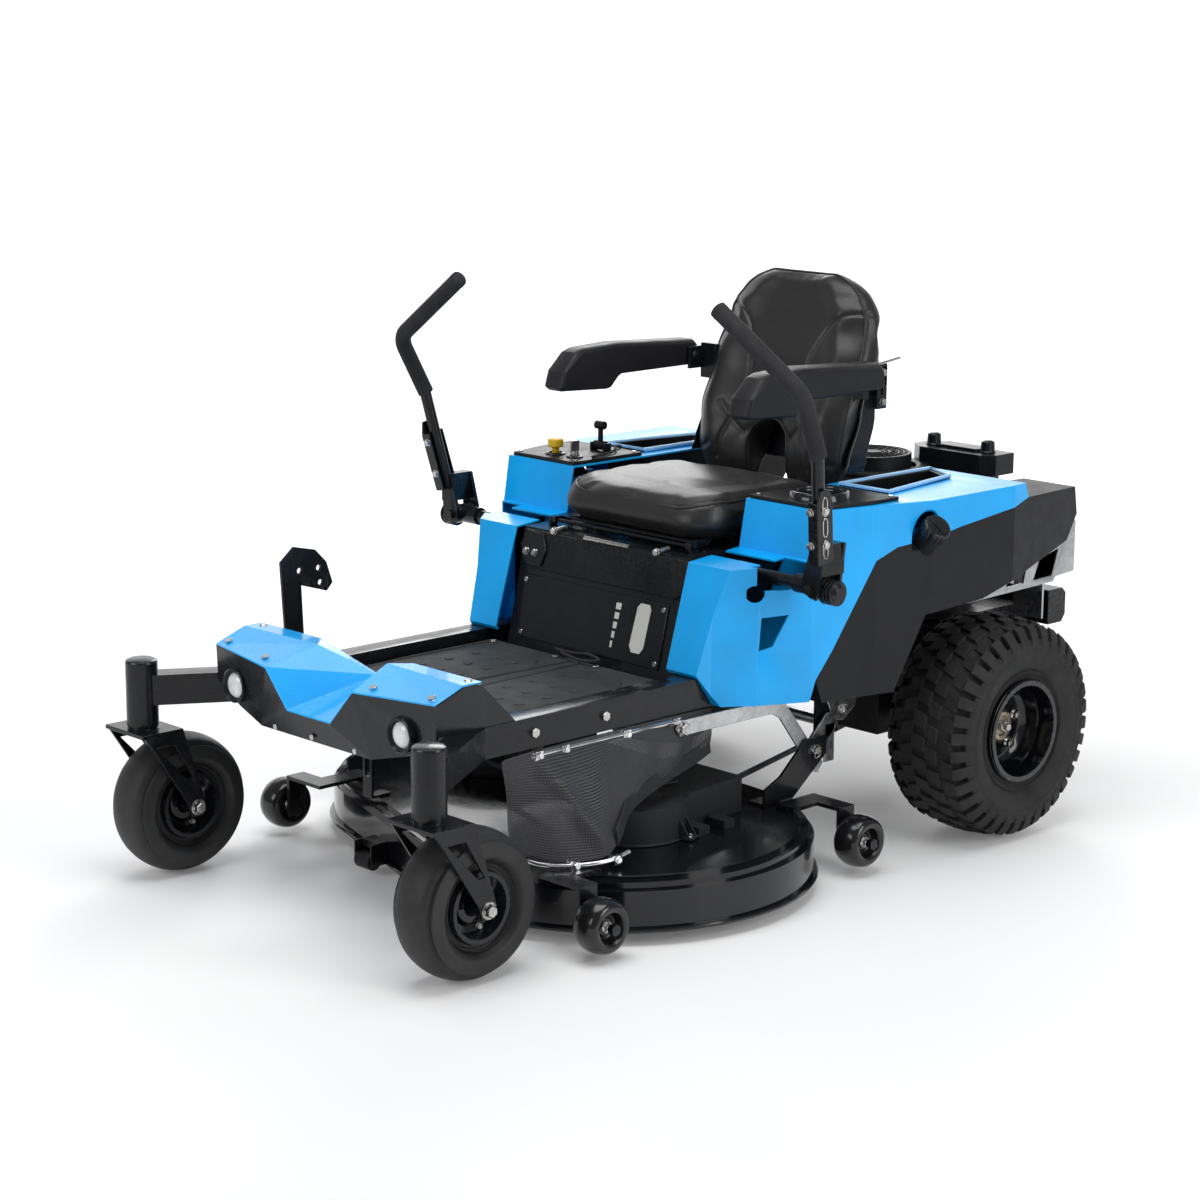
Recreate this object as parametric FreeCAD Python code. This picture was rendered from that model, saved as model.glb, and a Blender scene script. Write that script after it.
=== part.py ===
"""Zero-turn riding lawn mower: one STEP file for each sub-part, in millimetres.

Frame: +Z up, the ground at z = 0, the front at -Y, the driver's left at +X.
The origin is the centre of the bounding box's bottom face.
"""
import FreeCAD
import Part

import math
import os

V = FreeCAD.Vector
X_AXIS = V(1, 0, 0)
Y_AXIS = V(0, 1, 0)
Z_AXIS = V(0, 0, 1)
SIDES = (("left", 1), ("right", -1))

# Driving dimensions -------------------------------------------------------------
FRONT_AXLE_Y = -820            # front wheels' axle
REAR_AXLE_Y = 578              # drive wheels' axle
CASTER_Y = -900                # caster stems' axis
CASTER_X = 434
FRONT_TYRE_R = 140             # 11 x 4 - 5 tyre
FRONT_TYRE_W = 108
REAR_TYRE_R = 232              # 18 x 8.5 - 8 tyre
REAR_TYRE_W = 208
REAR_WHEEL_X = 489
RAIL_OUT = 330                 # outer faces of the side rails
RAIL_W = 50
RAIL_Z0 = 354
RAIL_Z1 = 414
RAIL_FRONT = -700
RAIL_REAR = 900
TUBE_WALL = 4
REAR_FACE = 960                # rearmost face of the bumper
PLAY = 0.05                    # radial play of a running shaft
GAP = 0.3                      # gap between bodies that move past each other

DECK_Z0 = 25                   # rim of the cutting deck, in its lowest place
DECK_TOP = 125
LEFT_LOBE = (201, -233, 405)   # x, y, radius of the deck's left lobe
RIGHT_LOBE = (-250, -150, 340)
SKIRT_INSET = 7                # the skirt stands this far inside the rim lip
DECK_WALL = 3
BLADE_R = 278
SPINDLES = {"left": (285, -265), "right": (-265, -140)}
PULLEY_R = 70
PULLEY_Z = (152, 174)
BELT_R = (58.5, 68)            # inner and outer radius of the belt on a pulley
ENGINE_XY = (0, 745)
GAUGE_R = 53
GAUGE_W = 60
GAUGE_WHEELS = {
    "front_left": (531, -577, 65),
    "front_right": (-488, -515, 65),
    "rear_left": (512, 150, 70),
    "rear_right": (-516, 172, 70),
}

LEVER_Y = 5                    # drive axis of the control levers
LEVER_Z = 608
LEVER_X = 524                  # park pivot of the control levers
SHELL = 4                      # wall of the moulded fenders
FENDER_IN = 252                # inner edge of the fenders' tops
FENDER_TOP = 736


# Small helpers ------------------------------------------------------------------
def box(x0, x1, y0, y1, z0, z1):
    """A block between two corners, given in any order along each axis."""
    low = V(min(x0, x1), min(y0, y1), min(z0, z1))
    return Part.makeBox(abs(x1 - x0), abs(y1 - y0), abs(z1 - z0), low)


def rod(start, end, radius):
    """A solid round bar from start to end."""
    a = V(*start)
    b = V(*end)
    return Part.makeCylinder(radius, (b - a).Length, a, b - a)


def ring(start, end, outer, inner):
    """A round tube from start to end."""
    return rod(start, end, outer).cut(rod(start, end, inner))


def prism(points, along):
    """A flat outline of 3-D points, pushed along a vector."""
    corners = [V(*p) for p in points]
    face = Part.Face(Part.makePolygon(corners + corners[:1]))
    return face.extrude(V(*along))


def side_prism(outline, x0, x1):
    """A (y, z) outline, filled between two planes of constant x."""
    return prism([(x0, y, z) for y, z in outline], (x1 - x0, 0, 0))


def plan_prism(outline, z0, z1):
    """An (x, y) outline, filled between two heights."""
    return prism([(x, y, z0) for x, y in outline], (0, 0, z1 - z0))


def beam(start, end, width, z0, z1):
    """An upright-sided bar between two (x, y) points."""
    a = V(start[0], start[1], 0)
    b = V(end[0], end[1], 0)
    side = (b - a).normalize().cross(Z_AXIS) * (width / 2)
    corners = [a + side, b + side, b - side, a - side]
    return plan_prism([(c.x, c.y) for c in corners], z0, z1)


def union(shapes):
    """All the shapes made into one, with needless seams taken out."""
    first = shapes[0]
    if len(shapes) > 1:
        first = first.multiFuse(shapes[1:])
    return first.removeSplitter()


def group(shapes):
    """Separate solids kept in one sub-part."""
    return Part.makeCompound([s for shape in shapes for s in shape.Solids])


def mirrored(shape):
    """The same shape on the driver's other side."""
    return shape.mirror(V(0, 0, 0), X_AXIS)


def on_side(shape, sign):
    """A shape drawn on the driver's left, put on the wanted side."""
    return shape if sign > 0 else mirrored(shape)


def both_sides(shape):
    return [shape, mirrored(shape)]


def spun(profile, centre, axis):
    """A (radius, offset) outline turned about an axis through centre."""
    across = Z_AXIS if abs(axis.z) < 0.5 else X_AXIS
    base = V(*centre)
    corners = [base + across * r + axis * s for r, s in profile]
    face = Part.Face(Part.makePolygon(corners + corners[:1]))
    return face.revolve(base, axis, 360)


def hex_bolt(place, axis, size, length):
    """A hexagon head standing on a face, its outside across-flats in size."""
    base = V(*place)
    out = V(*axis)
    across = Z_AXIS if abs(out.z) < 0.5 else X_AXIS
    side = out.cross(across)
    reach = size / math.sqrt(3)
    corners = []
    for step in range(6):
        turn = math.radians(60 * step)
        corners.append(base + across * (reach * math.cos(turn)) + side * (reach * math.sin(turn)))
    return Part.Face(Part.makePolygon(corners + corners[:1])).extrude(out * length)


def arc_wire(points, radius):
    """A path of straight runs joined by tangent arcs of one radius."""
    pts = [V(*p) for p in points]
    edges = []
    start = pts[0]
    for before, corner, after in zip(pts, pts[1:], pts[2:]):
        back = (before - corner).normalize()
        ahead = (after - corner).normalize()
        half_turn = (math.pi - back.getAngle(ahead)) / 2
        reach = radius * math.tan(half_turn)
        enter = corner + back * reach
        leave = corner + ahead * reach
        bisector = (back + ahead).normalize()
        centre = corner + bisector * (radius / math.cos(half_turn))
        middle = centre - bisector * radius
        edges.append(Part.LineSegment(start, enter).toShape())
        edges.append(Part.Arc(enter, middle, leave).toShape())
        start = leave
    edges.append(Part.LineSegment(start, pts[-1]).toShape())
    return Part.Wire(edges)


def tube_along(points, bend, radius):
    """A round bar bent along a path."""
    path = arc_wire(points, bend)
    first = path.Edges[0]
    aim = first.tangentAt(first.FirstParameter)
    circle = Part.Wire(Part.makeCircle(radius, V(*points[0]), aim))
    return path.makePipeShell([circle], True, False)


# Welded frame and what is bolted to it ------------------------------------------
RAIL_IN = RAIL_OUT - RAIL_W
BARREL_R = 31.5
BARREL_Z = (311, 436)
STEM_R = 17
LIFT_Y = 250                   # rear lift shaft
LIFT_Z = 262
LIFT_R = 12
FRONT_HANGER_X = -236
FRONT_HANGER_Y = -490
STRAP_PIN_Z = 254
STRAP_PIN_R = 7
LIFT_TRAVEL = 76
FLOOR_Z = 380
PEDAL_Y = -600
PEDAL_Z = 384
AXLE_R = 15


def frame_tube(x0, x1, y0, y1, z0, z1):
    """A hollow square tube as its outside and its bore."""
    w = TUBE_WALL
    long_x = abs(x1 - x0) > abs(y1 - y0)
    outside = box(x0, x1, y0, y1, z0, z1)
    if long_x:
        inside = box(x0, x1, y0 + w, y1 - w, z0 + w, z1 - w)
    else:
        inside = box(x0 + w, x1 - w, y0 + w, y1, z0 + w, z1 - w)
    return outside, inside


def main_frame():
    """Rails, cross tubes, caster arms and barrels, welded into one piece."""
    outsides = []
    bores = []
    for sign in (1, -1):
        outer, inner = frame_tube(sign * RAIL_IN, sign * RAIL_OUT, RAIL_FRONT, RAIL_REAR,
                                  RAIL_Z0, RAIL_Z1)
        if sign < 0:
            inner = box(-RAIL_OUT + TUBE_WALL, -RAIL_IN - TUBE_WALL, RAIL_FRONT + TUBE_WALL,
                        RAIL_REAR, RAIL_Z0 + TUBE_WALL, RAIL_Z1 - TUBE_WALL)
        outsides.append(outer)
        bores.append(inner)
        caster = (sign * CASTER_X, CASTER_Y)
        corner = (sign * (RAIL_OUT - 24), RAIL_FRONT + 12)
        outsides.append(beam(corner, caster, RAIL_W, RAIL_Z0, RAIL_Z1))
        outsides.append(rod((*caster, BARREL_Z[0]), (*caster, BARREL_Z[1]), BARREL_R))
        bores.append(rod((*caster, BARREL_Z[0]), (*caster, BARREL_Z[1] - 6), STEM_R + PLAY))
        # hanger plate of the lift shaft, under the rail
        plate = box(sign * (RAIL_OUT - 6), sign * RAIL_OUT, LIFT_Y - 34, LIFT_Y + 34,
                    LIFT_Z - 26, RAIL_Z0)
        outsides.append(plate)
        # post that carries the control lever's shaft
        outsides.append(box(sign * 300, sign * 308, LEVER_Y - 40, LEVER_Y + 40,
                            RAIL_Z1, LEVER_Z + 18))
        bores.append(rod((sign * 290, LEVER_Y, LEVER_Z), (sign * 320, LEVER_Y, LEVER_Z),
                         14 + PLAY))
    bores.append(rod((-RAIL_OUT - 1, LIFT_Y, LIFT_Z), (RAIL_OUT + 1, LIFT_Y, LIFT_Z),
                     LIFT_R + PLAY))
    for y0, y1 in ((RAIL_FRONT, RAIL_FRONT + 50), (850, RAIL_REAR)):
        outsides.append(box(-RAIL_IN, RAIL_IN, y0, y1, RAIL_Z0, RAIL_Z1))
        bores.append(box(-RAIL_IN, RAIL_IN, y0 + TUBE_WALL, y1 - TUBE_WALL,
                         RAIL_Z0 + TUBE_WALL, RAIL_Z1 - TUBE_WALL))
    for y in (FRONT_HANGER_Y, 110):
        outsides.append(box(-RAIL_IN, RAIL_IN, y - 20, y + 20, RAIL_Z0, FLOOR_Z))
    outsides.append(box(-RAIL_IN, RAIL_IN, RAIL_FRONT + 50, 88, FLOOR_Z, FLOOR_Z + 4))
    # bracket and pin that the deck's front strap hangs on
    hx = FRONT_HANGER_X
    outsides.append(prism([(hx - 40, FRONT_HANGER_Y, RAIL_Z0), (hx + 40, FRONT_HANGER_Y, RAIL_Z0),
                           (hx + 40, FRONT_HANGER_Y, 296), (hx + 14, FRONT_HANGER_Y, 238),
                           (hx - 14, FRONT_HANGER_Y, 238), (hx - 40, FRONT_HANGER_Y, 296)],
                          (0, 5, 0)))
    outsides.append(rod((hx, FRONT_HANGER_Y - 14, STRAP_PIN_Z), (hx, FRONT_HANGER_Y, STRAP_PIN_Z),
                        STRAP_PIN_R))
    # engine plate with the crankshaft's hole
    outsides.append(box(-RAIL_OUT, RAIL_OUT, 600, 870, RAIL_Z1, RAIL_Z1 + 6))
    bores.append(rod((*ENGINE_XY, RAIL_Z0), (*ENGINE_XY, RAIL_Z1 + 10), 40))
    # stub that the lift pedal turns on
    outsides.append(rod((-RAIL_OUT, PEDAL_Y, PEDAL_Z), (-RAIL_OUT - 16, PEDAL_Y, PEDAL_Z), 8))
    return union(outsides).cut(union(bores)).removeSplitter()


HITCH_HOLE_R = 6.5
HITCH_SPACING = 200


def rear_bumper():
    """Folded steel box behind the engine, with two holes for a hitch plate."""
    half = 388
    outline = [(RAIL_REAR, 452), (REAR_FACE - 12, 452), (REAR_FACE, 440), (REAR_FACE, 392),
               (REAR_FACE - 12, 376), (RAIL_REAR, 376)]
    shell = side_prism(outline, -half, half)
    hollow = side_prism([(RAIL_REAR - 1, 448), (REAR_FACE - 14, 448), (REAR_FACE - 4, 438),
                         (REAR_FACE - 4, 394), (REAR_FACE - 14, 380), (RAIL_REAR - 1, 380)],
                        -half + 4, half - 4)
    shell = shell.cut(hollow)
    ears = [box(sign * (RAIL_IN + 4), sign * (RAIL_OUT - 4), RAIL_REAR, REAR_FACE - 4,
                380, RAIL_Z1 - 4) for sign in (1, -1)]
    holes = [rod((x, REAR_FACE - 30, 416), (x, REAR_FACE + 1, 416), HITCH_HOLE_R)
             for x in (-HITCH_SPACING / 2, HITCH_SPACING / 2)]
    return union([shell] + ears).cut(union(holes))


BRACKET_X = (474, 480)


def rear_bracket():
    """Side plate under the tail of the fender, with three windows and a flange."""
    x0, x1 = BRACKET_X
    outline = [(505, 496), (520, 510), (822, 584), (852, 626), (862, 626), (862, 516),
               (800, 512), (790, 502)]
    plate = side_prism(outline, x0, x1)
    flange = box(400, x1, 856, 862, 516, 626)
    windows = [
        [(560, 508), (585, 508), (605, 524), (600, 524)],
        [(628, 510), (690, 512), (700, 548), (650, 536)],
        [(722, 514), (786, 516), (806, 572), (742, 557)],
    ]
    cuts = [side_prism(w, x0 - 1, x1 + 1) for w in windows]
    strut = box(RAIL_OUT, 408, 850, 856, 400, 520)
    return union([plate, flange, strut]).cut(union(cuts))


def floor_mat():
    """Rubber mat with a row of round studs along its rear edge."""
    mat = box(-268, 268, -640, -130, FLOOR_Z + 4, FLOOR_Z + 11)
    uprights = [e for e in mat.Edges if e.BoundBox.ZLength > 5]
    mat = mat.makeFillet(28, uprights)
    top = FLOOR_Z + 11
    studs = [rod((x, -150, top - 1), (x, -150, top + 4), 7) for x in range(-240, 241, 60)]
    return union([mat] + studs)


# Nose ---------------------------------------------------------------------------
SHEET = 3
NOSE = {
    "front_out": (328, -797, 473),
    "fold_out": (328, -729, 498),
    "back_out": (328, -685, 498),
    "front_in": (131, -828, 466),
    "fold_in": (104, -722, 498),
    "back_in": (138, -685, 498),
    "valley": (65, -828, 395),
    "valley_back": (0, -655, 446),
    "lip_in": (165, -812, 345),
    "lip_mid": (250, -800, 366),
    "lip_out": (328, -794, 403),
}
LIGHT_X = 250
LIGHT_Z = 408
LIGHT_R = 27


def nose_point(name, sign):
    x, y, z = NOSE[name]
    return (sign * x, y, z)


def folded_sheet(facets, push):
    """Flat facets that share their edges, all pushed one way into a sheet."""
    return union([prism(corners, push) for corners in facets])


def nose_cover():
    """Folded steel cover: two shoulders with a valley between them."""
    facets = []
    for sign in (1, -1):
        a, b, c, d, e, f, low = [nose_point(n, sign) for n in (
            "front_out", "fold_out", "back_out", "front_in", "fold_in", "back_in", "valley")]
        back = NOSE["valley_back"]
        facets += [(a, b, e), (a, e, d), (b, c, f, e), (d, e, back), (e, f, back),
                   (d, back, low)]
    facets.append((nose_point("valley", 1), NOSE["valley_back"], nose_point("valley", -1)))
    return folded_sheet(facets, (0, 0, SHEET))


def nose_fascia():
    """Plastic front under the cover, with a round seat for each headlight."""
    facets = []
    for sign in (1, -1):
        a, d, low, lip_in, lip_mid, lip_out = [nose_point(n, sign) for n in (
            "front_out", "front_in", "valley", "lip_in", "lip_mid", "lip_out")]
        facets += [(a, d, lip_out), (d, lip_mid, lip_out), (d, lip_in, lip_mid),
                   (d, low, lip_in)]
    facets.append((nose_point("valley", 1), nose_point("lip_in", 1), nose_point("lip_in", -1)))
    facets.append((nose_point("valley", 1), nose_point("lip_in", -1), nose_point("valley", -1)))
    front = folded_sheet(facets, (0, 5, 0))
    front = front.cut(box(-400, 400, -900, -600, 494, 520))
    side = [(-797, 471), (-729, 496), (-687, 496), (-604, RAIL_Z1), (-794, RAIL_Z1)]
    sides = [side_prism(side, sign * 324, sign * 328) for sign in (1, -1)]
    seats = []
    holes = []
    for sign in (1, -1):
        start = (sign * LIGHT_X, -815, LIGHT_Z)
        end = (sign * LIGHT_X, -752, LIGHT_Z)
        seats.append(rod(start, end, LIGHT_R + 4))
        holes.append(rod((start[0], -860, LIGHT_Z), end, LIGHT_R))
    body = union([front] + sides + seats).cut(union(holes))
    return body.cut(nose_cover())


def headlights():
    return group([rod((sign * LIGHT_X, -782, LIGHT_Z), (sign * LIGHT_X, -752, LIGHT_Z), LIGHT_R)
                  for sign in (1, -1)])


# Seat box and fenders -----------------------------------------------------------
PIVOT_Y = -20                  # hinge that the seat tips on
PIVOT_Z = 642
SEAT_PIN_R = 4


def seat_box():
    """Folded steel box under the seat, open below and at the rear."""
    outer = [(-112, FLOOR_Z + 4), (-78, 530), (-62, 628), (380, 634), (380, 440), (300, 440),
             (300, FLOOR_Z + 4)]
    inner = [(-108, FLOOR_Z + 3), (-74, 530), (-58, 624), (384, 630), (384, FLOOR_Z + 3)]
    shell = side_prism(outer, -246, 246).cut(side_prism(inner, -243, 243))
    battery = box(-190, -20, 120, 300, RAIL_Z0 + 60, RAIL_Z0 + 230)
    tray = box(-243, 243, 90, 320, RAIL_Z0 + 56, RAIL_Z0 + 60)
    lugs = [box(sign * 201, sign * 207, PIVOT_Y - 9, PIVOT_Y + 9, 625, PIVOT_Z + 8)
            for sign in (1, -1)]
    hinge_way = rod((-215, PIVOT_Y, PIVOT_Z), (215, PIVOT_Y, PIVOT_Z), SEAT_PIN_R + PLAY)
    return group([union([shell, tray] + lugs).cut(hinge_way), battery])


SHARED_EDGE = [(74, 400), (112, 454), (215, 624), (262, 648), (430, 672), (600, 690), (655, 704)]
BODY_PLAN = [(331, -150), (345, -108), (400, -37), (452, 60), (482, 215), (520, 340), (520, 600),
             (482, 866), (FENDER_IN, 866), (FENDER_IN, -150)]
BLUE_SIDE = [(-139, 422), (-92, 356), (60, 358)] + SHARED_EDGE + [
    (640, FENDER_TOP), (81, FENDER_TOP), (63, 640), (-80, 628)]
THROTTLE_Z = FENDER_TOP + 20
BIN_PLAN = [(292, 330), (408, 330), (368, 560), (292, 600)]
BIN_DEPTH = 90
CUP_XY = (372, 165)
CUP_R = 46
CUP_DEPTH = 80


def inset(outline, amount):
    """An outline shrunk evenly inwards, as (a, b) points."""
    corners = [V(a, b, 0) for a, b in outline]
    wire = Part.makePolygon(corners + corners[:1])
    smaller = Part.Face(wire).makeOffset2D(-amount, 2)
    ordered = smaller.OuterWire.OrderedVertexes
    return [(v.Point.x, v.Point.y) for v in ordered]


def fender():
    """Moulded front fender with its lever notch, vent and top openings."""
    skin = side_prism(BLUE_SIDE, FENDER_IN, 560).common(plan_prism(BODY_PLAN, 300, 800))
    inner_side = side_prism(inset(BLUE_SIDE, SHELL), FENDER_IN - 10, 560)
    inner_plan = [(x - SHELL if x > FENDER_IN else x - 10, y) for x, y in BODY_PLAN]
    core = inner_side.common(plan_prism(inner_plan, 300, 800))
    skin = skin.cut(core)
    rail_space = box(200, RAIL_OUT + 1, -200, 700, 300, RAIL_Z1 + 1)
    notch = box(384, 560, LEVER_Y - 44, LEVER_Y + 50, LEVER_Z - 22, 662)
    shaft_way = box(FENDER_IN - 1, 560, LEVER_Y - 20, LEVER_Y + 20, LEVER_Z - 20, 662)
    vent = side_prism([(-34, 466), (-8, 474), (20, 536), (-30, 532)], 384, 560)
    console_way = plan_prism([(262, 96), (438, 96), (462, 215), (462, 276), (262, 276)],
                             FENDER_TOP - 20, FENDER_TOP + 1)
    dimple = rod((384, -40, 580), (420, -40, 580), 17)
    cuts = union([rail_space, notch, shaft_way, vent, console_way, bin_room(), dimple, cap_room(),
                  filler_neck(NECK_R + 1)])
    return skin.cut(cuts)


TYRE_ROOM = 30
CAP_BASE = (530, 328, 674)
CAP_AIM = (32, -8, 34)
NECK_R = 26


def bin_room():
    """The hollow in the fender and the tank that the storage bin hangs in."""
    return plan_prism(inset(BIN_PLAN, -1), FENDER_TOP - BIN_DEPTH - 1, FENDER_TOP + 1)


def filler_neck(radius):
    return rod((490, 338, 632), CAP_BASE, radius)


def cap_room():
    """The hollow in the fender and the tank that the fuel cap stands in."""
    return rod((505, 334, 648), (560, 320, 706), 40)


def fuel_tank():
    """Moulded tank that is also the rear fender, arched over the drive tyre."""
    outline = [(74, 400), (90, 352), (262, 352), (330, 505), (505, 512), (822, 588), (862, 640),
               (850, 700)] + SHARED_EDGE[::-1][:-1]
    body = side_prism(outline, 346, 560).common(plan_prism(BODY_PLAN, 300, 800))
    arch = rod((360, REAR_AXLE_Y, REAR_TYRE_R), (640, REAR_AXLE_Y, REAR_TYRE_R),
               REAR_TYRE_R + TYRE_ROOM)
    body = body.cut(arch)
    return union([body.cut(union([cap_room(), bin_room()])), filler_neck(NECK_R)])



def fuel_cap():
    """Screw cap with ribs round its edge."""
    aim = V(*CAP_AIM).normalize()
    base = V(*CAP_BASE) + aim * GAP
    skirt = Part.makeCylinder(31, 24, base, aim)
    across = aim.cross(Y_AXIS).normalize()
    side = aim.cross(across)
    ribs = []
    for step in range(12):
        turn = math.radians(30 * step)
        spot = base + (across * math.cos(turn) + side * math.sin(turn)) * 31
        ribs.append(Part.makeCylinder(3, 22, spot, aim))
    return union([skirt] + ribs)


def console(with_cup):
    """Black insert on top of the fender: cup holder or controls in front, bin behind."""
    plate = plan_prism([(256, 86), (446, 86), (474, 215), (474, 288), (256, 288)],
                       FENDER_TOP, FENDER_TOP + 8)
    solids = [plate]
    holes = []
    cx, cy = CUP_XY
    if with_cup:
        top = FENDER_TOP + 20
        solids.append(rod((cx, cy, FENDER_TOP - CUP_DEPTH), (cx, cy, top), CUP_R + 4))
        holes.append(rod((cx, cy, FENDER_TOP - CUP_DEPTH + 4), (cx, cy, top + 1), CUP_R))
    else:
        lugs = [box(x, x + 6, 225, 245, FENDER_TOP + 8, THROTTLE_Z + 6) for x in (307, 347)]
        solids += lugs
        holes.append(rod((300, 235, THROTTLE_Z), (360, 235, THROTTLE_Z), 3 + PLAY))
    tray_top = FENDER_TOP + 4
    rim = plan_prism([(284, 322), (416, 322), (376, 566), (284, 610)], FENDER_TOP, tray_top)
    walls = plan_prism(inset(BIN_PLAN, 1), FENDER_TOP - BIN_DEPTH, tray_top)
    room = plan_prism(inset(BIN_PLAN, 4), FENDER_TOP - BIN_DEPTH + 3, tray_top + 1)
    tray = union([rim, walls]).cut(room)
    body = union(solids)
    return group([body.cut(union(holes)), tray])


# Engine and drive ---------------------------------------------------------------
SHROUD_TOP = 690


def pulley(x, y):
    """A grooved pulley on an upright shaft."""
    z0, z1 = PULLEY_Z
    outline = [(0, z0), (PULLEY_R, z0), (PULLEY_R, z0 + 3), (BELT_R[0] - 0.5, z0 + 6),
               (BELT_R[0] - 0.5, z1 - 6), (PULLEY_R, z1 - 3), (PULLEY_R, z1), (0, z1)]
    return spun(outline, (x, y, 0), Z_AXIS)


def engine():
    """Vertical-shaft twin: crankcase, shroud, finned cylinders, silencer and drive pulley."""
    ex, ey = ENGINE_XY
    z0 = RAIL_Z1 + 6
    case = box(ex - 130, ex + 130, ey - 120, ey + 100, z0, z0 + 120)
    shroud = rod((ex, ey, z0 + 120), (ex, ey, SHROUD_TOP), 138)
    arms = []
    for sign in (1, -1):
        for fin in range(7):
            x = sign * (144 + 12 * fin)
            arms.append(box(x, x + sign * 6, ey - 20, ey + 110, z0 + 60, z0 + 190))
        arms.append(box(sign * 100, sign * 216, ey, ey + 90, z0 + 75, z0 + 175))
    silencer = rod((-150, 905, 500), (150, 905, 500), 44)
    pipe = rod((0, 840, 500), (0, 900, 500), 18)
    shaft = rod((ex, ey, PULLEY_Z[0] - 4), (ex, ey, z0), 16)
    return union([case, shroud] + arms + [silencer, pipe, shaft, pulley(ex, ey)])


def air_filter_cover():
    """Lid over the air filter, beside the cooling screen, with two wing knobs."""
    outline = [(20, 872), (60, 842), (230, 842), (256, 868), (256, 930), (20, 930)]
    lid = plan_prism(outline, SHROUD_TOP, SHROUD_TOP + 46)
    knobs = [rod((x, 890, SHROUD_TOP + 46), (x, 890, SHROUD_TOP + 70), 14) for x in (62, 214)]
    foot = box(60, 220, 884, 925, 545, SHROUD_TOP)
    return union([lid] + knobs + [foot])


def intake_screen():
    """Round finned screen that turns with the crankshaft."""
    ex, ey = ENGINE_XY
    z0 = SHROUD_TOP + GAP
    disc = ring((ex, ey, z0), (ex, ey, z0 + 26), 92, 84)
    top = rod((ex, ey, z0 + 26), (ex, ey, z0 + 38), 92)
    slots = []
    for radius in (36, 52, 68):
        slots.append(ring((ex, ey, z0 + 32), (ex, ey, z0 + 39), radius + 4, radius))
    return union([disc, top]).cut(union(slots))


def transaxles():
    """Two hydrostatic transaxles under the frame, each with its bore for a wheel shaft."""
    one = box(120, 262, REAR_AXLE_Y - 90, REAR_AXLE_Y + 90, 176, 320)
    horn = rod((262, REAR_AXLE_Y, REAR_TYRE_R), (350, REAR_AXLE_Y, REAR_TYRE_R), 34)
    lug = box(180, 240, REAR_AXLE_Y - 60, REAR_AXLE_Y - 20, 320, 352)
    bar = box(180, RAIL_OUT - 2, REAR_AXLE_Y - 60, REAR_AXLE_Y - 20, 340, RAIL_Z0)
    bore = rod((180, REAR_AXLE_Y, REAR_TYRE_R), (351, REAR_AXLE_Y, REAR_TYRE_R), AXLE_R + PLAY)
    one = union([one, horn, lug, bar]).cut(bore)
    return group(both_sides(one))


# Wheels -------------------------------------------------------------------------
FRONT_RIM_R = 66
REAR_RIM_R = 106


def tyre(centre, radius, width, rim_r, shoulder):
    """A closed tyre casing turned about the X axis, resting on its rim."""
    half = width / 2
    outline = [(rim_r, -half + 8), (rim_r + 10, -half + 2), (radius - shoulder * 1.4, -half),
               (radius - shoulder * 0.4, -half + shoulder * 0.5), (radius, -half + shoulder * 1.5),
               (radius, half - shoulder * 1.5), (radius - shoulder * 0.4, half - shoulder * 0.5),
               (radius - shoulder * 1.4, half), (rim_r + 10, half - 2), (rim_r, half - 8)]
    return spun(outline, centre, X_AXIS)


def front_tyre(sign):
    centre = (sign * CASTER_X, FRONT_AXLE_Y, FRONT_TYRE_R)
    return tyre(centre, FRONT_TYRE_R, FRONT_TYRE_W, FRONT_RIM_R, 20)


def front_rim(sign):
    """Steel rim with a dished disc and a hub tube for the axle bolt."""
    half = FRONT_TYRE_W / 2
    outline = [(8 + PLAY, -half), (16, -half), (16, -10), (50, -6), (58, -half + 8),
               (FRONT_RIM_R, -half + 8), (FRONT_RIM_R, half - 8), (58, half - 8), (50, 6),
               (16, 10), (16, half), (8 + PLAY, half)]
    return spun(outline, (sign * CASTER_X, FRONT_AXLE_Y, FRONT_TYRE_R), X_AXIS)


def rear_tyre(sign):
    centre = (sign * REAR_WHEEL_X, REAR_AXLE_Y, REAR_TYRE_R)
    return tyre(centre, REAR_TYRE_R, REAR_TYRE_W, REAR_RIM_R, 26)


def rear_rim():
    """Dished rim, its hub flange, wheel nuts and drive shaft, on the driver's left."""
    half = REAR_TYRE_W / 2
    outline = [(AXLE_R, -60), (86, -60), (96, -half + 8), (REAR_RIM_R, -half + 8),
               (REAR_RIM_R, half - 8), (96, half - 8), (92, 20), (60, -44), (AXLE_R, -44)]
    centre = (REAR_WHEEL_X, REAR_AXLE_Y, REAR_TYRE_R)
    dish = spun(outline, centre, X_AXIS)
    face = REAR_WHEEL_X - 44
    shaft = rod((190, REAR_AXLE_Y, REAR_TYRE_R), (face + 26, REAR_AXLE_Y, REAR_TYRE_R), AXLE_R)
    hub = rod((face, REAR_AXLE_Y, REAR_TYRE_R), (face + 10, REAR_AXLE_Y, REAR_TYRE_R), 34)
    nuts = []
    for step in range(5):
        turn = math.radians(72 * step + 18)
        y = REAR_AXLE_Y + 50 * math.cos(turn)
        z = REAR_TYRE_R + 50 * math.sin(turn)
        nuts.append(hex_bolt((face - 1, y, z), (1, 0, 0), 19, 14))
    return union([dish, shaft, hub] + nuts)


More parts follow.
